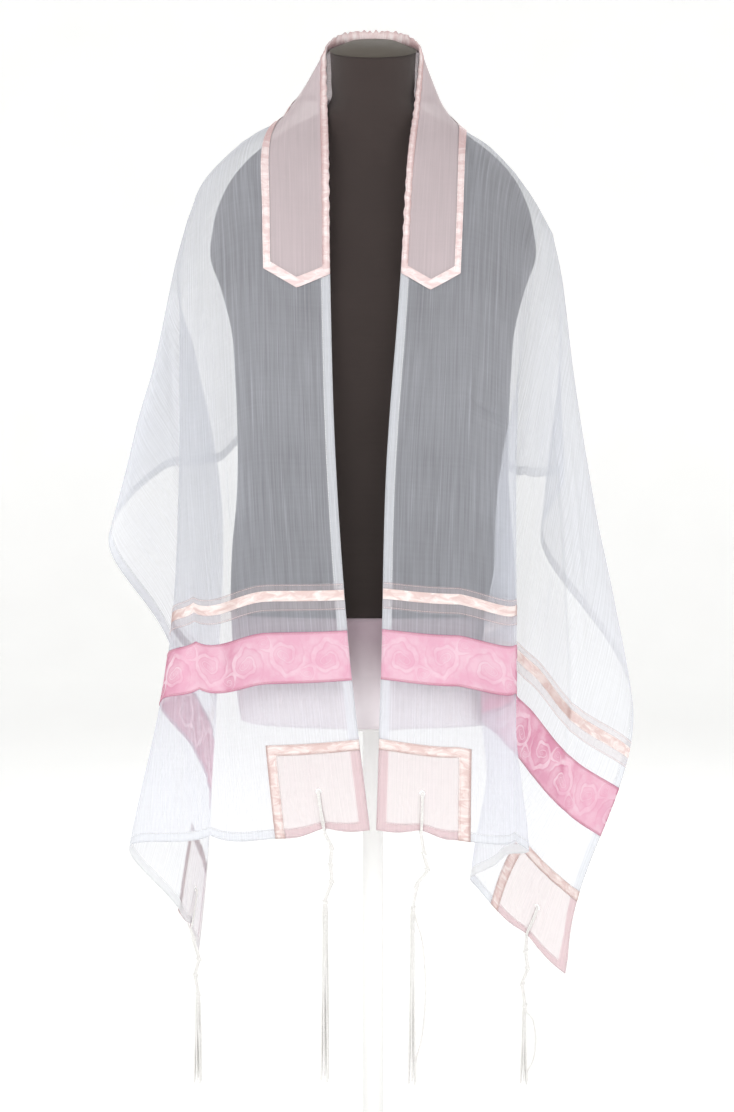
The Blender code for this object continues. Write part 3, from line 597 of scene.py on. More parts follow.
def jacquard(name, ground, motif, turnedShade, shade, contrast):
    material, tree, shader = newMaterial(name)
    uv = addNode(tree, "ShaderNodeUVMap", uv_map="cloth").outputs[0]
    split = addNode(tree, "ShaderNodeSeparateXYZ", [uv])
    across = addNode(tree, "ShaderNodeMath", [split.outputs[0], 1 / mm, -bandMiddle], operation="MULTIPLY_ADD")
    lines, rims = [], []
    for offset, size, side, turns, lobes, lift in scrollRows:
        along = addNode(tree, "ShaderNodeMath", [split.outputs[1], 1 / mm / scrollEvery, offset],
                        operation="MULTIPLY_ADD")
        cell = addNode(tree, "ShaderNodeMath", [along], operation="FLOOR")
        parity = addNode(tree, "ShaderNodeMath", [cell, 2.0], operation="FLOORED_MODULO")
        flip = addNode(tree, "ShaderNodeMath", [parity, -2.0, 1.0], operation="MULTIPLY_ADD")
        within = addNode(tree, "ShaderNodeMath", [along], operation="FRACT")
        straightX = addNode(tree, "ShaderNodeMath", [within, scrollEvery, -scrollEvery / 2],
                            operation="MULTIPLY_ADD")
        turned = addNode(tree, "ShaderNodeMath", [across, flip], operation="MULTIPLY")
        straightY = addNode(tree, "ShaderNodeMath", [turned, side], operation="SUBTRACT")
        local = addNode(tree, "ShaderNodeCombineXYZ", [straightX, straightY, 7.3 * offset])
        sway = addNode(tree, "ShaderNodeTexNoise", {"Vector": local, "Scale": 0.05, "Detail": 1.0})
        swayed = addNode(tree, "ShaderNodeSeparateColor", [sway.outputs["Color"]])
        x = addNode(tree, "ShaderNodeMath", [swayed.outputs[0], 16.0, straightX], operation="MULTIPLY_ADD")
        y = addNode(tree, "ShaderNodeMath", [swayed.outputs[1], 16.0, straightY], operation="MULTIPLY_ADD")
        middleX = addNode(tree, "ShaderNodeMath", [x, 8.0], operation="SUBTRACT")
        middleY = addNode(tree, "ShaderNodeMath", [y, 8.0], operation="SUBTRACT")
        squareX = addNode(tree, "ShaderNodeMath", [middleX, middleX], operation="MULTIPLY")
        squares = addNode(tree, "ShaderNodeMath", [middleY, middleY, squareX], operation="MULTIPLY_ADD")
        radius = addNode(tree, "ShaderNodeMath", [squares], operation="SQRT")
        angle = addNode(tree, "ShaderNodeMath", [middleY, middleX], operation="ARCTAN2")
        lobed = addNode(tree, "ShaderNodeMath", [angle, lobes], operation="MULTIPLY")
        lobe = addNode(tree, "ShaderNodeMath", [lobed], operation="SINE")
        swell = addNode(tree, "ShaderNodeMath", [lobe, lift, 1.0], operation="MULTIPLY_ADD")
        waved = addNode(tree, "ShaderNodeMath", [radius, swell], operation="MULTIPLY")
        growth = addNode(tree, "ShaderNodeMath", [waved, 2.5], operation="LOGARITHM")
        turn = addNode(tree, "ShaderNodeMath", [angle, turns / (2 * math.pi), growth],
                       operation="MULTIPLY_ADD")
        arm = addNode(tree, "ShaderNodeMath", [turn, 0.5], operation="PINGPONG")
        line = addNode(tree, "ShaderNodeMapRange", {"Value": arm, "From Min": 0.19, "From Max": 0.12})
        rim = addNode(tree, "ShaderNodeMapRange", {"Value": arm, "From Min": 0.30, "From Max": 0.20})
        reach = addNode(tree, "ShaderNodeMapRange", {"Value": waved, "From Min": size, "From Max": size * 0.9})
        lines.append(addNode(tree, "ShaderNodeMath", [line, reach], operation="MULTIPLY").outputs[0])
        rims.append(addNode(tree, "ShaderNodeMath", [rim, reach], operation="MULTIPLY").outputs[0])
    scrolls = addNode(tree, "ShaderNodeMath", lines, operation="MAXIMUM")
    around = addNode(tree, "ShaderNodeMath", rims, operation="MAXIMUM")
    outlineOnly = addNode(tree, "ShaderNodeMath", [around, scrolls], operation="SUBTRACT", use_clamp=True)
    fromMiddle = addNode(tree, "ShaderNodeMath", [across], operation="ABSOLUTE")
    border = addNode(tree, "ShaderNodeMapRange", {"Value": fromMiddle, "From Min": 24.8, "From Max": 25.8})
    clouds = addNode(tree, "ShaderNodeTexNoise", {"Vector": uv, "Scale": 42.0, "Detail": 4.0, "Roughness": 0.6},
                     noise_dimensions="2D")
    blotch = addNode(tree, "ShaderNodeMapRange", {"Value": clouds, "From Min": 0.38, "From Max": 0.62})
    # Painted sheen and shade: as the band turns from view its ground deepens to the deep colour and the motif
    # gains contrast
    facing = addNode(tree, "ShaderNodeLayerWeight", {"Blend": 0.5})
    oblique = addNode(tree, "ShaderNodeMapRange", {"Value": facing.outputs["Facing"], "From Min": 0.10,
                                                   "From Max": 0.55})
    strength = addNode(tree, "ShaderNodeMapRange", {"Value": oblique, "To Min": contrast, "To Max": 0.9})
    amount = addNode(tree, "ShaderNodeMath", [scrolls, strength], operation="MULTIPLY")
    tone = addNode(tree, "ShaderNodeMath", [blotch, 0.5, amount], operation="MULTIPLY_ADD", use_clamp=True)
    field = addNode(tree, "ShaderNodeMix", {0: oblique, 6: hexColor(ground), 7: hexColor(turnedShade)},
                    data_type="RGBA")
    color = addNode(tree, "ShaderNodeMix", {0: tone, 6: field.outputs[2], 7: hexColor(motif)},
                    data_type="RGBA")
    rimmed = addNode(tree, "ShaderNodeMath", [outlineOnly, strength], operation="MULTIPLY")
    edged = addNode(tree, "ShaderNodeMath", [border, 0.5, rimmed], operation="MULTIPLY_ADD", use_clamp=True)
    full = addNode(tree, "ShaderNodeMix", {0: edged, 6: color.outputs[2], 7: hexColor(shade)},
                   data_type="RGBA")
    gloss = addNode(tree, "ShaderNodeMapRange", {"Value": scrolls, "To Min": 0.46, "To Max": 0.28})
    bump = addNode(tree, "ShaderNodeBump", {"Strength": 0.4, "Distance": 0.0005, "Height": tone})
    feed(tree, shader, {"Base Color": full.outputs[2], "Roughness": gloss, "Normal": bump,
                        "Specular IOR Level": 0.55, "Sheen Weight": 0.3, "Sheen Roughness": 0.35})
    through = addNode(tree, "ShaderNodeBsdfTranslucent", [full.outputs[2], bump])
    cloth = addNode(tree, "ShaderNodeMixShader", [0.25, shader, through])
    tree.links.new(cloth.outputs[0], tree.nodes["Material Output"].inputs[0])
    return material


# Cotton string, plied and waxed: matt, with a soft grey set at random by noise, painted shade for the hollows
# between the plies
def string(name, color, dark):
    material, tree, shader = newMaterial(name)
    place = addNode(tree, "ShaderNodeTexCoord").outputs["Object"]
    fibres = addNode(tree, "ShaderNodeTexNoise", {"Vector": place, "Scale": 1400.0, "Detail": 3.0})
    tone = addNode(tree, "ShaderNodeMapRange", {"Value": fibres, "From Min": 0.35, "From Max": 0.6})
    mixed = addNode(tree, "ShaderNodeMix", {0: tone, 6: hexColor(dark), 7: hexColor(color)}, data_type="RGBA")
    bump = addNode(tree, "ShaderNodeBump", {"Strength": 0.5, "Distance": 0.0003, "Height": fibres})
    feed(tree, shader, {"Base Color": mixed.outputs[2], "Normal": bump, "Roughness": 0.85,
                        "Sheen Weight": 0.3})
    return material


# Cotton jersey, a fine weft knit: matt with a faint rib of 1.1 mm, drawn coarser than its stitches
# so that it shows, and a low nap
def jersey(name, low, high, lowZ, highZ, ribs=0.0011):
    material, tree, shader = newMaterial(name)
    place = addNode(tree, "ShaderNodeTexCoord").outputs["Object"]
    split = addNode(tree, "ShaderNodeSeparateXYZ", [place])
    angle = addNode(tree, "ShaderNodeMath", [split.outputs[1], split.outputs[0]], operation="ARCTAN2")
    wales = addNode(tree, "ShaderNodeMath", [angle, 0.15 * 2 * math.pi / ribs], operation="MULTIPLY")
    rib = addNode(tree, "ShaderNodeMath", [wales], operation="SINE")
    courses = addNode(tree, "ShaderNodeMath", [split.outputs[2], 2 * math.pi / (ribs * 1.2)],
                      operation="MULTIPLY")
    course = addNode(tree, "ShaderNodeMath", [courses], operation="SINE")
    knit = addNode(tree, "ShaderNodeMath", [rib, course], operation="ADD")
    nap = addNode(tree, "ShaderNodeTexNoise", {"Vector": place, "Scale": 380.0, "Detail": 3.0})
    height = addNode(tree, "ShaderNodeMath", [nap, 2.0, knit], operation="MULTIPLY_ADD")
    clouds = addNode(tree, "ShaderNodeTexNoise", {"Vector": place, "Scale": 16.0, "Detail": 4.0})
    # The colour runs from low to high between the heights lowZ and highZ, with a random wash
    level = addNode(tree, "ShaderNodeMapRange", {
        "Value": split.outputs[2], "From Min": lowZ, "From Max": highZ}, interpolation_type="SMOOTHSTEP")
    wash = addNode(tree, "ShaderNodeMath", [clouds, 0.35, -0.17], operation="MULTIPLY_ADD")
    tone = addNode(tree, "ShaderNodeMath", [level, wash], operation="ADD", use_clamp=True)
    color = addNode(tree, "ShaderNodeMix", {0: tone, 6: hexColor(low), 7: hexColor(high)}, data_type="RGBA")
    bump = addNode(tree, "ShaderNodeBump", {"Strength": 0.35, "Distance": 0.0004, "Height": height})
    feed(tree, shader, {"Base Color": color.outputs[2], "Normal": bump, "Roughness": 0.9,
                        "Specular IOR Level": 0.2, "Sheen Weight": 0.12, "Sheen Roughness": 0.5})
    return material


# Powder-coated steel: an even white coat with a fine orange peel and a soft gloss
def powderCoat(name, color):
    material, tree, shader = newMaterial(name)
    place = addNode(tree, "ShaderNodeTexCoord").outputs["Object"]
    peel = addNode(tree, "ShaderNodeTexNoise", {"Vector": place, "Scale": 900.0, "Detail": 2.0})
    dust = addNode(tree, "ShaderNodeTexNoise", {"Vector": place, "Scale": 30.0, "Detail": 3.0})
    rough = addNode(tree, "ShaderNodeMapRange", {"Value": dust, "From Min": 0.3, "From Max": 0.7,
                                                 "To Min": 0.34, "To Max": 0.46})
    bump = addNode(tree, "ShaderNodeBump", {"Strength": 0.12, "Distance": 0.0002, "Height": peel})
    feed(tree, shader, {"Base Color": hexColor(color), "Roughness": rough, "Normal": bump})
    return material


panelOrganza = organza("silkOrganzaWoven", "e9ecf6", 0.41, 0.12)
hemOrganza = organza("silkOrganzaTurnedHem", "f3f4f5", 0.92, 0.05)
neckbandOrganza = organza("silkOrganzaNeckband", "f0e3e6", 0.50, 0.05)
cornerOrganza = organza("silkOrganzaCorner", "f3e2e2", 0.36, 0.07)
cornerHem = organza("silkOrganzaCornerHem", "f8d8e1", 0.46, 0.05)
casingOrganza = organza("silkOrganzaCasing", "e4dbe0", 0.30, 0.08)
# The last colour of each satin is its painted shade, the rose where the ribbon turns from view
ribbonSatin = satin("polyesterSatinRibbon", "dcc2be", "f3e7e4", "b9958f")
neckSatin = satin("polyesterSatinNeckRibbon", "e1c9c8", "f4e8e7", "c49c9d")
# The third colour of each jacquard is its painted shade, the deep ground where the band turns from view
bandSatin = jacquard("jacquardSatinFace", "f0b9d0", "f8dde8", "cf6d95", "e08fb2", 0.22)
bandReverse = jacquard("jacquardSatinReverse", "e592b3", "f5c6d8", "c66089", "c9688f", 0.5)
whiteString = string("pliedCottonString", "fcfbf9", "d8d6d3")
darkJersey = jersey("cottonJerseyDark", "2c2523", "3f3634", 0.64, 1.3)
# The hips run from near white at the foot to mauve-grey at the top: painted shade under the dark cover's hem
mauveJersey = jersey("cottonJerseyMauve", "efe7ea", "a5949c", 0.52, 0.64)
capJersey = jersey("cottonJerseyCap", "5a544d", "6a635b", 1.27, 1.30)
powderWhite = powderCoat("steelPowderCoatedWhite", "f4f4f2")
thread = string("polyesterSewingThread", "f4dcd9", "d8aeab")
whiteThread = string("polyesterSewingThreadWhite", "f4f4f2", "c9c9c6")

# Cloth pieces. The organza is cut away behind each wide band, up to a lap for its seams.
# How far out of the panel the face and the reverse of each layer lie
layers = {"hem": (0.0, -0.7), "square": (0.75, 0.4), "trim": (1.5, 1.05), "wrapped": (1.5, -1.1),
          "casing": (0.7, 0.7), "band": (0.9, 0.4)}
eyelets = np.zeros((len(rows) - 1, len(columns) - 1), bool)
for lowT, highT in ((eyeletLow, eyeletHigh), (width - eyeletHigh, width - eyeletLow)):
    for sign in (-1, 1):
        s0, s1 = sorted((sign * (end - eyeletHigh), sign * (end - eyeletLow)))
        eyelets |= cellsBetween(s0, s1, lowT, highT)


def cellsAtEnd(sign, lowS, highS, lowT, highT):
    s0, s1 = sorted((sign * lowS, sign * highS))
    return cellsBetween(s0, s1, lowT, highT)


wholePanel = cellsBetween(-end, end, 0, width)
hemFree = cellsBetween(-end + hem, end - hem, hem, width - hem)
turnedHem = wholePanel & ~hemFree
behindBands = np.zeros_like(wholePanel)
for sign in (-1, 1):
    behindBands |= cellsAtEnd(sign, bandLow + shawl["bandTurn"], bandHigh - shawl["bandTurn"], hem, width - hem)
shawlPanel = clothPiece("shawlPanel", wholePanel & ~eyelets & ~behindBands, turnedHem, *layers["hem"],
                        [panelOrganza, hemOrganza], lambda i, j, layer: layer)
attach(shawlPanel, "root")
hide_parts("shawl_panel")

neckTrim, ataraWidth, ataraEnd = shawl["neckTrim"], shawl["ataraWidth"], shawl["ataraEnd"]
atara = cellsBetween(-ataraEnd, ataraEnd, 0, ataraWidth)
ataraInside = cellsBetween(-ataraEnd + trim, ataraEnd - trim, neckTrim, ataraWidth - neckTrim)
ataraPanel = clothPiece("ataraPanel", atara, atara, *layers["square"], [neckbandOrganza])
wrapped = cellsBetween(-ataraEnd, ataraEnd, 0, neckTrim)  # round the neck edge
ataraRibbon = clothPiece("ataraRibbon", atara & ~ataraInside, wrapped, *layers["wrapped"], [neckSatin])
pieces = [(ataraPanel, "atara_panel", "neckband_organza", (0.078, 0.788)),
          (ataraRibbon, "atara_ribbon", "ribbon_satin", None)]

for side, sign in (("left", -1), ("right", 1)):
    ribbonCells = cellsAtEnd(sign, *shawl["casingS"], 0, width)
    satinCells = cellsAtEnd(sign, *shawl["ribbonS"], 0, width)
    ribbon = clothPiece("narrowRibbon" + side.title(), ribbonCells, None, *layers["casing"],
                        [casingOrganza, ribbonSatin],
                        lambda i, j, layer: int(satinCells[i, j]))
    bandCells = cellsAtEnd(sign, *shawl["bandS"], 0, width)
    band = clothPiece("wideBand" + side.title(), bandCells, bandCells, *layers["band"],
                      [bandSatin, bandReverse],
                      lambda i, j, layer: layer)
    pieces += [(ribbon, "narrow_ribbon_" + side, "ribbon_satin", (0.030, 0.500)),
               (band, "wide_band_" + side, "jacquard_satin", (0.056, 0.500))]
    for place in ("front", "rear"):
        low, high = (0, corner) if place == "front" else (width - corner, width)
        inLow, inHigh = (low, high - trim) if place == "front" else (low + trim, high)
        square = cellsAtEnd(sign, end - corner, end, low, high)
        plain = cellsAtEnd(sign, end - corner + trim, end, inLow, inHigh)
        free = cellsAtEnd(sign, end - corner, end - hem, max(low, hem), min(high, width - hem))
        where = place + "_" + side
        title = place.title() + side.title()
        patch = clothPiece("corner" + title, square & ~eyelets, square & ~free, *layers["square"],
                            [cornerOrganza, cornerHem], lambda i, j, layer: layer)
        border = clothPiece("cornerRibbon" + title, square & ~plain, square & ~plain, *layers["trim"],
                            [ribbonSatin])
        pieces += [(patch, "corner_" + where, "organza", (0.104, 0.104)),
                   (border, "corner_ribbon_" + where, "ribbon_satin", None)]
for piece, node, slotName, flat in pieces:
    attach(piece, "root")
    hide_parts(node)
print("cloth pieces", len(pieces) + 1)


# Dress form: height, half width, front depth, back depth, roundness, tilt. The smooth cover lies
# 1.4 mm inside these sizes, so that it stays clear of the cloth between the sections
form = {"sides": 144, "step": 5.0, "inset": 1.4, "hemHeight": 14.0, "hemProud": 1.006, "rimSpan": 120.0}
torsoRows = (
    (639.2, 167, 106, 114, 2.3, 0), (680, 166, 106, 111, 2.3, 0), (720, 164, 105, 108, 2.3, 0),
    (760, 160, 104, 103, 2.3, 0), (800, 158, 103, 99, 2.3, 0), (840, 158, 104, 97, 2.3, 0),
    (880, 159, 105, 97, 2.3, 0), (920, 161, 106, 99, 2.3, 0), (960, 164, 106, 103, 2.3, 0),
    (1010, 176, 101, 109, 2.3, 0), (1050, 189, 92, 113, 2.2, 0), (1080, 186, 82, 111, 2.15, 0),
    (1100, 182, 74, 106, 2.05, 0), (1117, 175.5, 67, 100, 1.95, 0), (1135, 166.3, 60, 94, 1.75, 0),
    (1150, 155, 55, 88, 1.6, 0), (1162, 143.8, 52, 83, 1.45, 0), (1175, 128, 49, 77, 1.35, 0),
    (1186, 113, 48, 72, 1.35, 0), (1198, 96.5, 47, 68, 1.5, 0), (1210, 69, 47, 63, 1.9, 0),
    (1225, 52, 47, 58, 2, 0.05), (1250, 49.5, 47, 53, 2, 0.15), (1284, 50.8, 50.8, 50.8, 2, 0.287),
)
hipRows = (
    (513, 156, 98, 106, 2.3, 0), (560, 162, 103, 111, 2.3, 0), (600, 165, 105, 113, 2.3, 0),
    (638.8, 167, 106, 114, 2.3, 0),
)
capRows = (
    (1284.4, 50.8, 50.8, 50.8, 2, 0.287), (1289.5, 50.8, 50.8, 50.8, 2, 0.287),
    (1292.5, 44, 44, 44, 2, 0.287), (1294.5, 28, 28, 28, 2, 0.287),
)
# Soft folds in the dark cover: depth inward, half width, then x and z from end to end
coverFolds = (
    (1.6, 5.0, (-47, 1236), (-38, 1196), (-30, 1168)), (1.2, 6.0, (-20, 1180), (12, 1150), (30, 1142)),
    (1.4, 7.0, (-36, 980), (-6, 968), (34, 975)), (1.1, 6.0, (-30, 760), (4, 748), (30, 752)),
    (1.0, 5.0, (-26, 690), (0, 684), (22, 690)), (1.2, 8.0, (36, 1090), (22, 1040), (18, 980)),
    (1.2, 8.0, (-34, 900), (-28, 840), (-30, 780)),
)


# A smooth skin over rings of points in metres, with its ends open or closed
def ringBody(name, rings, material, closed=True):
    sides = len(rings[0])
    places = [tuple(map(float, p)) for ring in rings for p in ring]
    faces = [list(reversed(range(sides)))] if closed else []
    for level in range(len(rings) - 1):
        for k in range(sides):
            a, b = level * sides + k, level * sides + (k + 1) % sides
            faces.append([a, b, b + sides, a + sides])
    if closed:
        faces.append(list(range(len(places) - sides, len(places))))
    mesh = bpy.data.meshes.new(name)
    mesh.from_pydata(places, [], faces)
    mesh.materials.append(material)
    mesh.polygons.foreach_set("use_smooth", [True] * len(faces))
    mesh.update()
    return link(name, mesh)


# The rings that an outline of radius and height makes about the upright axis
def turnedRings(outline, sides):
    turns = np.arange(sides) * 2 * math.pi / sides
    return [np.stack([r * np.cos(turns), r * np.sin(turns), np.full(sides, float(z))], -1) for r, z in outline]


def formRings(table, folds=(), inset=form["inset"], edge=2.0):
    heights = [row[0] for row in table]
    levels = np.linspace(heights[0], heights[-1], max(2, int((heights[-1] - heights[0]) / form["step"])))
    turns = np.arange(form["sides"]) * 2 * math.pi / form["sides"]
    rings = []
    for height in levels:
        wide, front, back, roundness, tilt = (hermite(heights, [row[k] for row in table], height)
                                              for k in range(1, 6))
        x = np.sign(np.cos(turns)) * np.abs(np.cos(turns)) ** (2 / roundness) * (wide - inset)
        y = np.sign(np.sin(turns)) * np.abs(np.sin(turns)) ** (2 / roundness)
        y = y * np.where(y > 0, back - inset, front - inset)
        z = height + tilt * y
        sink = np.zeros(len(turns))
        for depth, spread, *path in folds:
            line = np.array(path, float)
            fine = np.linspace(0, 1, 40)
            lineX = np.interp(fine, np.linspace(0, 1, len(line)), line[:, 0])
            lineZ = np.interp(fine, np.linspace(0, 1, len(line)), line[:, 1])
            away = np.hypot(x[:, None] - lineX, z[:, None] - lineZ)
            swell = np.sin(math.pi * fine[away.argmin(1)])
            sink += np.where(y < 0, depth * swell * np.exp(-(away.min(1) / spread) ** 2), 0)
        shrink = 1 - sink / np.maximum(np.hypot(x, y), 1)
        rings.append(np.stack([x * shrink, y * shrink, z], -1))
    # The lower rim is a little rounded
    narrower = 1 - edge / form["rimSpan"]
    rings.insert(0, rings[0] * (narrower, narrower, 1))
    rings[1] = rings[1] + (0, 0, edge * 0.6)
    return rings


torso = formRings(torsoRows, coverFolds)
hemTop = torsoRows[0][0] + form["hemHeight"]
for ring in torso:  # the turned hem of the cover stands a little proud
    if ring[0][2] < hemTop:
        ring[:, :2] *= form["hemProud"]
formTorso = ringBody("formTorso", np.array(torso) * mm, darkJersey)
formHips = ringBody("formHips", np.array(formRings(hipRows, (), 2.2)) * mm, mauveJersey)
neckCap = ringBody("neckCap", np.array(formRings(capRows, (), 0.6, 1.0)) * mm, capJersey)

stand = {"sides": 96, "bevel": 1.2}
poleSteps = ((26, 12.4), (26, 36), (22, 40), (12, 41), (12, 503), (45, 504), (45, 512.6))
baseSteps = ((147, 0), (150, 3), (150, 9), (146, 12))


def turnedBody(name, steps, material):
    outline = [(0.01, steps[0][1])]
    for k, (radius, height) in enumerate(steps):
        before = outline[-1] if k == 0 else steps[k - 1]
        after = steps[k + 1] if k < len(steps) - 1 else (0.01, steps[-1][1])
        for other in (before, after):
            span = max(math.hypot(other[0] - radius, other[1] - height), 0.001)
            cut = min(stand["bevel"], span * 0.35) / span
            outline.append((radius + (other[0] - radius) * cut, height + (other[1] - height) * cut))
    outline.append((0.01, steps[-1][1]))
    return ringBody(name, np.array(turnedRings(outline, stand["sides"])) * mm, material)


standPole = turnedBody("standPole", poleSteps, powderWhite)
standBase = turnedBody("standBase", baseSteps, powderWhite)
steel = "powder_coated_steel"
for piece, node, slotName in (
        (formTorso, "form_torso", "dark_jersey"), (formHips, "form_hips", "mauve_jersey"),
        (neckCap, "neck_cap", "cap_cloth"), (standPole, "stand_pole", steel), (standBase, "stand_base", steel)):
    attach(piece, "root")
    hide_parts(node)
print("form and stand")


# A new Geometry Nodes tree with named inputs, and the node that gives them
def newTree(name, sockets):
    tree = bpy.data.node_groups.new(name, "GeometryNodeTree")
    kinds = {float: "NodeSocketFloat", int: "NodeSocketInt"}
    tree.interface.new_socket("Geometry", in_out="INPUT", socket_type="NodeSocketGeometry")
    for label, value in sockets:
        tree.interface.new_socket(label, in_out="INPUT", socket_type=kinds[type(value)]).default_value = value
    tree.interface.new_socket("Material", in_out="INPUT", socket_type="NodeSocketMaterial")
    tree.interface.new_socket("Geometry", in_out="OUTPUT", socket_type="NodeSocketGeometry")
    return tree, addNode(tree, "NodeGroupInput").outputs


# Ends a tree: smooth, real geometry with its material
def finishTree(tree, made, material):
    smooth = addNode(tree, "GeometryNodeSetShadeSmooth", [made])
    real = addNode(tree, "GeometryNodeRealizeInstances", [smooth])
    painted = addNode(tree, "GeometryNodeSetMaterial", {"Geometry": real, "Material": material})
    addNode(tree, "NodeGroupOutput", [painted])
    return tree


# Threads twisted about a path. One thread is a winding, two or more are a cord
def twistTree():
    tree, given = newTree("twistedThreads", (("Radius", 0.0005), ("Thread", 0.0004), ("Pitch", 0.004),
                                             ("Step", 0.0008), ("Threads", 2), ("Sides", 5)))
    line = addNode(tree, "GeometryNodeMeshToCurve", [given["Geometry"]])
    even = addNode(tree, "GeometryNodeResampleCurve", {"Curve": line, "Length": given["Step"]}, mode="LENGTH")
    copies = addNode(tree, "GeometryNodeDuplicateElements", {"Geometry": even, "Amount": given["Threads"]},
                     domain="SPLINE")
    share = addNode(tree, "ShaderNodeMath", [copies.outputs[1], given["Threads"]], operation="DIVIDE")
    runs = addNode(tree, "GeometryNodeSplineParameter")
    turn = addNode(tree, "ShaderNodeMath", [runs.outputs["Length"], given["Pitch"]], operation="DIVIDE")
    summed = addNode(tree, "ShaderNodeMath", [turn, share], operation="ADD")
    angle = addNode(tree, "ShaderNodeMath", [summed, 2 * math.pi], operation="MULTIPLY")
    outward = addNode(tree, "GeometryNodeInputNormal")
    tangent = addNode(tree, "GeometryNodeInputTangent")
    spun = addNode(tree, "ShaderNodeVectorRotate", {"Vector": outward, "Axis": tangent,
                                                    "Angle": angle}, rotation_type="AXIS_ANGLE")
    moved = addNode(tree, "ShaderNodeVectorMath", {0: spun, "Scale": given["Radius"]}, operation="SCALE")
    wound = addNode(tree, "GeometryNodeSetPosition", {"Geometry": copies, "Offset": moved})
    ring = addNode(tree, "GeometryNodeCurvePrimitiveCircle", {"Resolution": given["Sides"],
                                                              "Radius": given["Thread"]})
    tube = addNode(tree, "GeometryNodeCurveToMesh", {"Curve": wound, "Profile Curve": ring,
                                                     "Fill Caps": True})
    return finishTree(tree, tube, given["Material"])


# A row of short stitches along each path
def stitchTree():
    tree, given = newTree("stitchRow", (("Stitch", 0.0021), ("Pitch", 0.0027), ("Thread", 0.0002)))
    line = addNode(tree, "GeometryNodeMeshToCurve", [given["Geometry"]])
    spots = addNode(tree, "GeometryNodeCurveToPoints", {"Curve": line, "Length": given["Pitch"]}, mode="LENGTH")
    stitch = addNode(tree, "GeometryNodeMeshCylinder", {
        "Vertices": 5, "Side Segments": 1, "Radius": given["Thread"], "Depth": given["Stitch"]},
        fill_type="TRIANGLE_FAN")
    placed = addNode(tree, "GeometryNodeInstanceOnPoints", {
        "Points": spots, "Instance": stitch, "Rotation": spots.outputs["Rotation"]})
    return finishTree(tree, placed, given["Material"])


# Runs a tree over polylines and keeps the result as a plain mesh
def alongPaths(name, paths, tree, values):
    places, edges = [], []
    for path in paths:
        first = len(places)
        places += [tuple(float(v) * mm for v in p) for p in path]
        edges += [(k, k + 1) for k in range(first, len(places) - 1)]
    mesh = bpy.data.meshes.new(name)
    mesh.from_pydata(places, edges, [])
    thing = link(name, mesh)
    nodes = thing.modifiers.new("made", "NODES")
    nodes.node_group = tree
    for item in tree.interface.items_tree:
        if item.in_out == "INPUT" and item.name in values:
            nodes[item.identifier] = values[item.name]
    made = bpy.data.meshes.new_from_object(thing.evaluated_get(bpy.context.evaluated_depsgraph_get()))
    thing.modifiers.clear()
    thing.data = made
    return thing


def joined(name, things):
    with bpy.context.temp_override(active_object=things[0], selected_editable_objects=things):
        bpy.ops.object.join()
    things[0].name = name
    return things[0]


twist = twistTree()
stitchRow = stitchTree()

# Tassels: hem point as s and t, height at which the strings end, how far a loose one stands out,
# then x and z of four knots below the hem
tassels = {
    "front_left": (-1000, 50, 117, 0, (8, -22), (7, -41), (8, -60), (1, -83)),
    "front_right": (1000, 50, 115, 11, (3, -26), (7, -44), (-5, -63), (-9, -88)),
    "rear_left": (-1000, 450, 75, 0, (4, -18), (10, -42), (6, -61), (9, -84)),
    "rear_right": (1000, 450, 72, 10, (-1, -20), (1, -41), (-5, -60), (-2, -86)),
}
strings = {"count": 8, "circle": 2.0, "spread": 4.4, "uneven": 3.0, "sway": 0.9, "start": 948.9,
           "knotTop": 2.4, "knotFoot": 2.2, "knotLean": 0.9,
           "loopOut": ((951, 2.2, -1.6), (957, 2.7, -2.0), (972, 3.0, -2.4), (1000, 3.2, -2.6))}
# Threads in each stretch of a tassel: radius, thickness, pitch, step, count and sides
threads = {
    "loop": (0.26, 0.34, 3.2, 0.7, 2, 5), "core": (0.0, 1.5, 4.0, 2.0, 1, 10),
    "winding": (1.55, 0.5, 1.04, 0.11, 1, 6), "knot": (2.2, 0.85, 1.75, 0.13, 1, 7),
    "ends": (0.50, 0.60, 4.4, 0.75, 2, 5),
}


def smoothPath(path, count):
    path = np.array(path, float)
    runs = np.concatenate([[0], np.cumsum(np.linalg.norm(np.diff(path, axis=0), axis=1))])
    fine = np.linspace(0, runs[-1], count)
    return np.stack([hermite(runs, path[:, k], fine) for k in range(3)], -1)


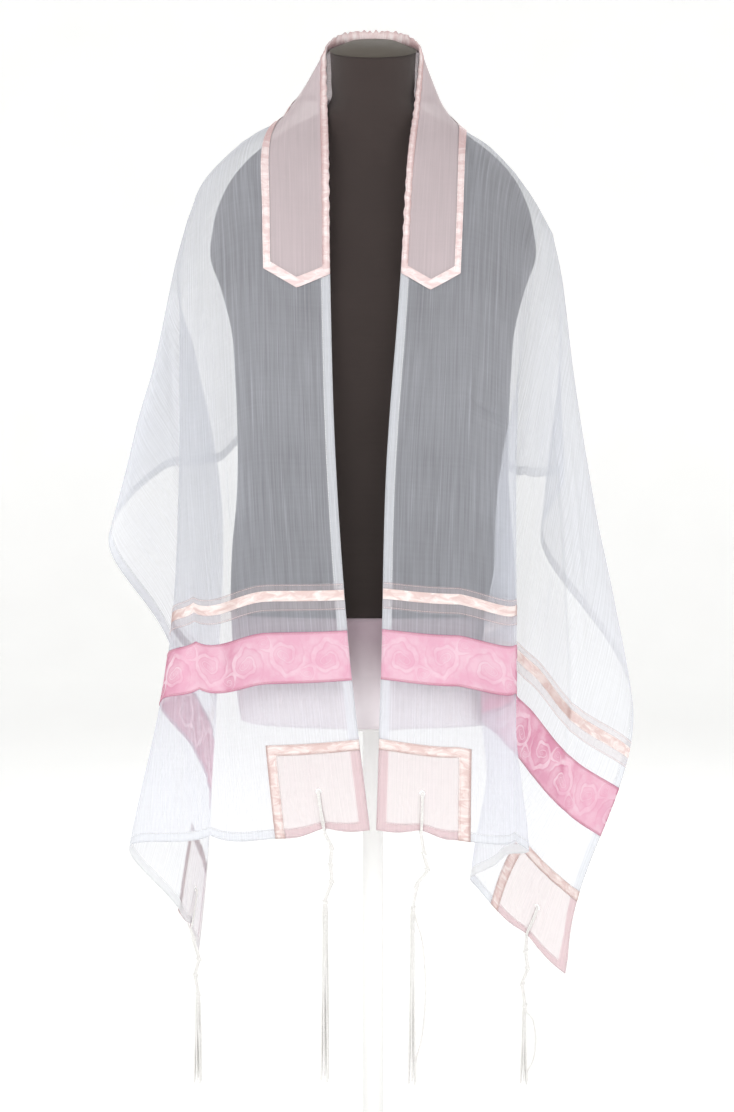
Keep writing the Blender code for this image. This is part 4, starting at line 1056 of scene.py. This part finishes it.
def tassel(name, row):
    s, t, floor, loopOut, *knotRows = row
    sign = math.copysign(1, s)
    hem = onCloth(s, t, 0.6)
    knots = [hem + (dx, 0, dz) for dx, dz in knotRows]
    top = hem + (0, 0, -5)
    parts, loops = [], []

    def addThreads(label, paths):
        radius, thickness, pitch, step, count, sides = threads[label]
        parts.append(alongPaths(label, paths, twist, {
            "Radius": radius * mm, "Thread": thickness * mm, "Pitch": pitch * mm, "Step": step * mm,
            "Threads": count, "Sides": sides, "Material": whiteString}))

    for lane in (-1.5, -0.5, 0.5, 1.5):
        for side in (1, 2):
            stops = [onCloth(sign * strings["start"], t + lane * 0.5, 0.4)]
            stops += [onCloth(sign * stop[0], t + lane * 0.85, stop[side]) for stop in strings["loopOut"]]
            stops += [top + (lane * 0.5, 0.6 if side == 2 else -0.6, -3)]
            loops.append(smoothPath(stops, 24))
    addThreads("loop", loops)
    windings, wraps, last = [], [], top
    for knot in knots:
        upper, lower = knot + (0, 0, strings["knotTop"]), knot - (0, 0, strings["knotFoot"])
        windings.append(smoothPath([last, last + (upper - last) * 0.5, upper], 12))
        lean = np.array((strings["knotLean"], 0.0, 0.0)) * (1 if knot[0] > hem[0] else -1)
        wraps.append(smoothPath([upper - lean, knot, lower + lean], 8))
        last = lower
    core = smoothPath([top] + knots + [knots[-1] + (0, 0, -3)], 60)
    addThreads("core", [core])
    addThreads("winding", windings)
    addThreads("knot", wraps)
    root = knots[-1]
    ends = []
    for k in range(strings["count"]):
        angle = 2 * math.pi * (k + 0.5) / strings["count"]
        turn = np.array((math.cos(angle), math.sin(angle) * 0.8, 0.0))
        out = loopOut if k in (0, strings["count"] - 1) else 0.0
        length = root[2] - floor + strings["uneven"] * math.sin(2.4 * k)
        line = [root + turn * strings["circle"] * 0.5, root + turn * strings["circle"] + (0, 0, -6)]
        for share in (0.18, 0.32, 0.45, 0.6, 0.75, 0.9, 1.0):
            bulge = out * math.sin(math.pi * min(1.0, share / 0.9)) ** 0.7
            gap = strings["circle"] + (strings["spread"] - strings["circle"]) * share
            sway = strings["sway"] * math.sin(5.0 * share + 1.7 * k) * share
            line.append(root + turn * gap + (bulge + sway, 0.6 * sway, -length * share))
        ends.append(smoothPath(line, 60))
    addThreads("ends", ends)
    piece = joined("tzitzit" + name.title().replace("_", ""), parts)
    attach(piece, "root")
    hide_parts("tzitzit_" + name)
    return piece


for name, row in tassels.items():
    tassel(name, row)
print("tassels")


# Stitches: a row just inside each edge of the trims, and along the inner edge of the hems
def clothPath(s0, t0, s1, t1, out):
    count = max(2, int(math.hypot(s1 - s0, t1 - t0) / 4))
    return [onCloth(s0 + (s1 - s0) * k / count, t0 + (t1 - t0) * k / count, out) for k in range(count + 1)]


stitches = {"inside": 1.6, "ribbonOut": 0.85, "bandOut": 1.0, "trimOut": 1.62, "hemOut": 0.15, "endHemOut": 0.9,
            "clear": 4.0}  # how near the white rows come to a trim
trimRows, whiteRows = [], []
inside, clear = stitches["inside"], stitches["clear"]
for sign in (-1, 1):
    for edges, out in ((shawl["casingS"], stitches["ribbonOut"]), (shawl["bandS"], stitches["bandOut"])):
        for s in (edges[0] + inside, edges[1] - inside):
            trimRows.append(clothPath(sign * s, 2, sign * s, width - 2, out))
    for low, high in ((0, corner), (width - corner, width)):
        s0, s1 = end - corner + inside, end - corner + trim - inside
        for s in (s0, s1):
            trimRows.append(clothPath(sign * s, low + 2, sign * s, high - 2, stitches["trimOut"]))
        edge, inner = (high, -1) if low == 0 else (low, 1)
        for t in (edge + inner * inside, edge + inner * (trim - inside)):
            trimRows.append(clothPath(sign * s1, t, sign * (end - 2), t, stitches["trimOut"]))
    endHem = sign * (end - hem + 1)
    whiteRows.append(clothPath(endHem, 12, endHem, width - 12, stitches["endHemOut"]))
for t in (inside, neckTrim - inside, ataraWidth - neckTrim + inside, ataraWidth - inside):
    trimRows.append(clothPath(-ataraEnd + 2 * clear, t, ataraEnd - 2 * clear, t, stitches["trimOut"]))
frontStart, frontStop = ataraEnd + clear, shawl["casingS"][0] - clear
rearStart, rearStop = ataraEnd + 2 * clear, bandLow - clear
for t, spans in ((hem - 1, ((-frontStop, -frontStart), (frontStart, frontStop))),
                 (width - hem + 1, ((-rearStop, -rearStart), (-rearStart, rearStart), (rearStart, rearStop)))):
    for s0, s1 in spans:
        whiteRows.append(clothPath(s0, t, s1, t, stitches["hemOut"]))
for name, paths, material in (("stitchesPink", trimRows, thread), ("stitchesWhite", whiteRows, whiteThread)):
    seams = alongPaths(name, paths, stitchRow, {"Material": material})
    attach(seams, "root")
print("stitches")


# Studio: a pale floor that curves up far behind all round, open to the sky
studio = {"floor": 6.6, "cove": 1.0, "height": 6.3}


def sweepMaterial():
    material, tree, shader = newMaterial("paperBackdrop")
    place = addNode(tree, "ShaderNodeTexCoord").outputs["Object"]
    grain = addNode(tree, "ShaderNodeTexNoise", {"Vector": place, "Scale": 6.0, "Detail": 3.0})
    tone = addNode(tree, "ShaderNodeMix", {0: grain, 6: hexColor("f3f3f2"), 7: hexColor("fbfbfa")},
                   data_type="RGBA")
    feed(tree, shader, {"Base Color": tone.outputs[2], "Roughness": 0.9,
                        "Emission Color": hexColor("ffffff"), "Emission Strength": 0.21})
    return material


outline = [(0.001, 0.0), (1.0, 0.0), (2.5, 0.0), (studio["floor"] - studio["cove"], 0.0)]
for k in range(1, 13):
    bend = k / 12 * math.pi / 2
    outline.append((studio["floor"] - studio["cove"] + studio["cove"] * math.sin(bend),
                    studio["cove"] * (1 - math.cos(bend))))
outline.append((studio["floor"], studio["height"]))
paperSweep = ringBody("paperSweep", turnedRings(outline, 96), sweepMaterial(), closed=False)

world = bpy.data.worlds.new("softSky")
world.use_nodes = True
world.node_tree.nodes["Background"].inputs[0].default_value = (1.0, 1.0, 1.0, 1.0)
world.node_tree.nodes["Background"].inputs[1].default_value = 0.45
scene.world = world

# Soft boxes, all turned to the middle of the shawl: place, size in metres, power in watts
lampsAim = (0.0, 0.0, 0.75)
softBoxes = {
    "keyBox": ((-1.7, -2.7, 2.3), 1.8, 40.0),
    "fillBox": ((2.1, -2.5, 1.5), 1.9, 24.5),
    "backBox": ((0.3, 2.6, 2.6), 2.0, 20.0),
}
for name, (place, size, power) in softBoxes.items():
    light = bpy.data.lights.new(name, "AREA")
    light.shape = "SQUARE"
    light.size = size
    light.energy = power
    lamp = link(name, light)
    lamp.location = place
    aim = np.array(lampsAim) - np.array(place)
    flat = math.hypot(aim[0], aim[1])
    lamp.rotation_euler = (math.atan2(flat, -aim[2]), 0, math.atan2(-aim[0], aim[1]))
    lamp.visible_camera = False

view = {"distance": 3.0, "elevation": 3.0, "target": (-0.007, 0.0, 0.7036), "fov": 24.27}
camera = link("camera", bpy.data.cameras.new("camera"))
rise = math.radians(view["elevation"])
camera.location = (view["target"][0], view["target"][1] - view["distance"] * math.cos(rise),
                   view["target"][2] + view["distance"] * math.sin(rise))
camera.rotation_euler = (math.pi / 2 - rise, 0, 0)
camera.data.sensor_fit = "AUTO"
camera.data.sensor_width = 36.0
camera.data.lens = 18.0 / math.tan(math.radians(view["fov"] / 2))
scene.camera = camera
scene.view_settings.view_transform = "Standard"
scene.cycles.transparent_max_bounces = 32
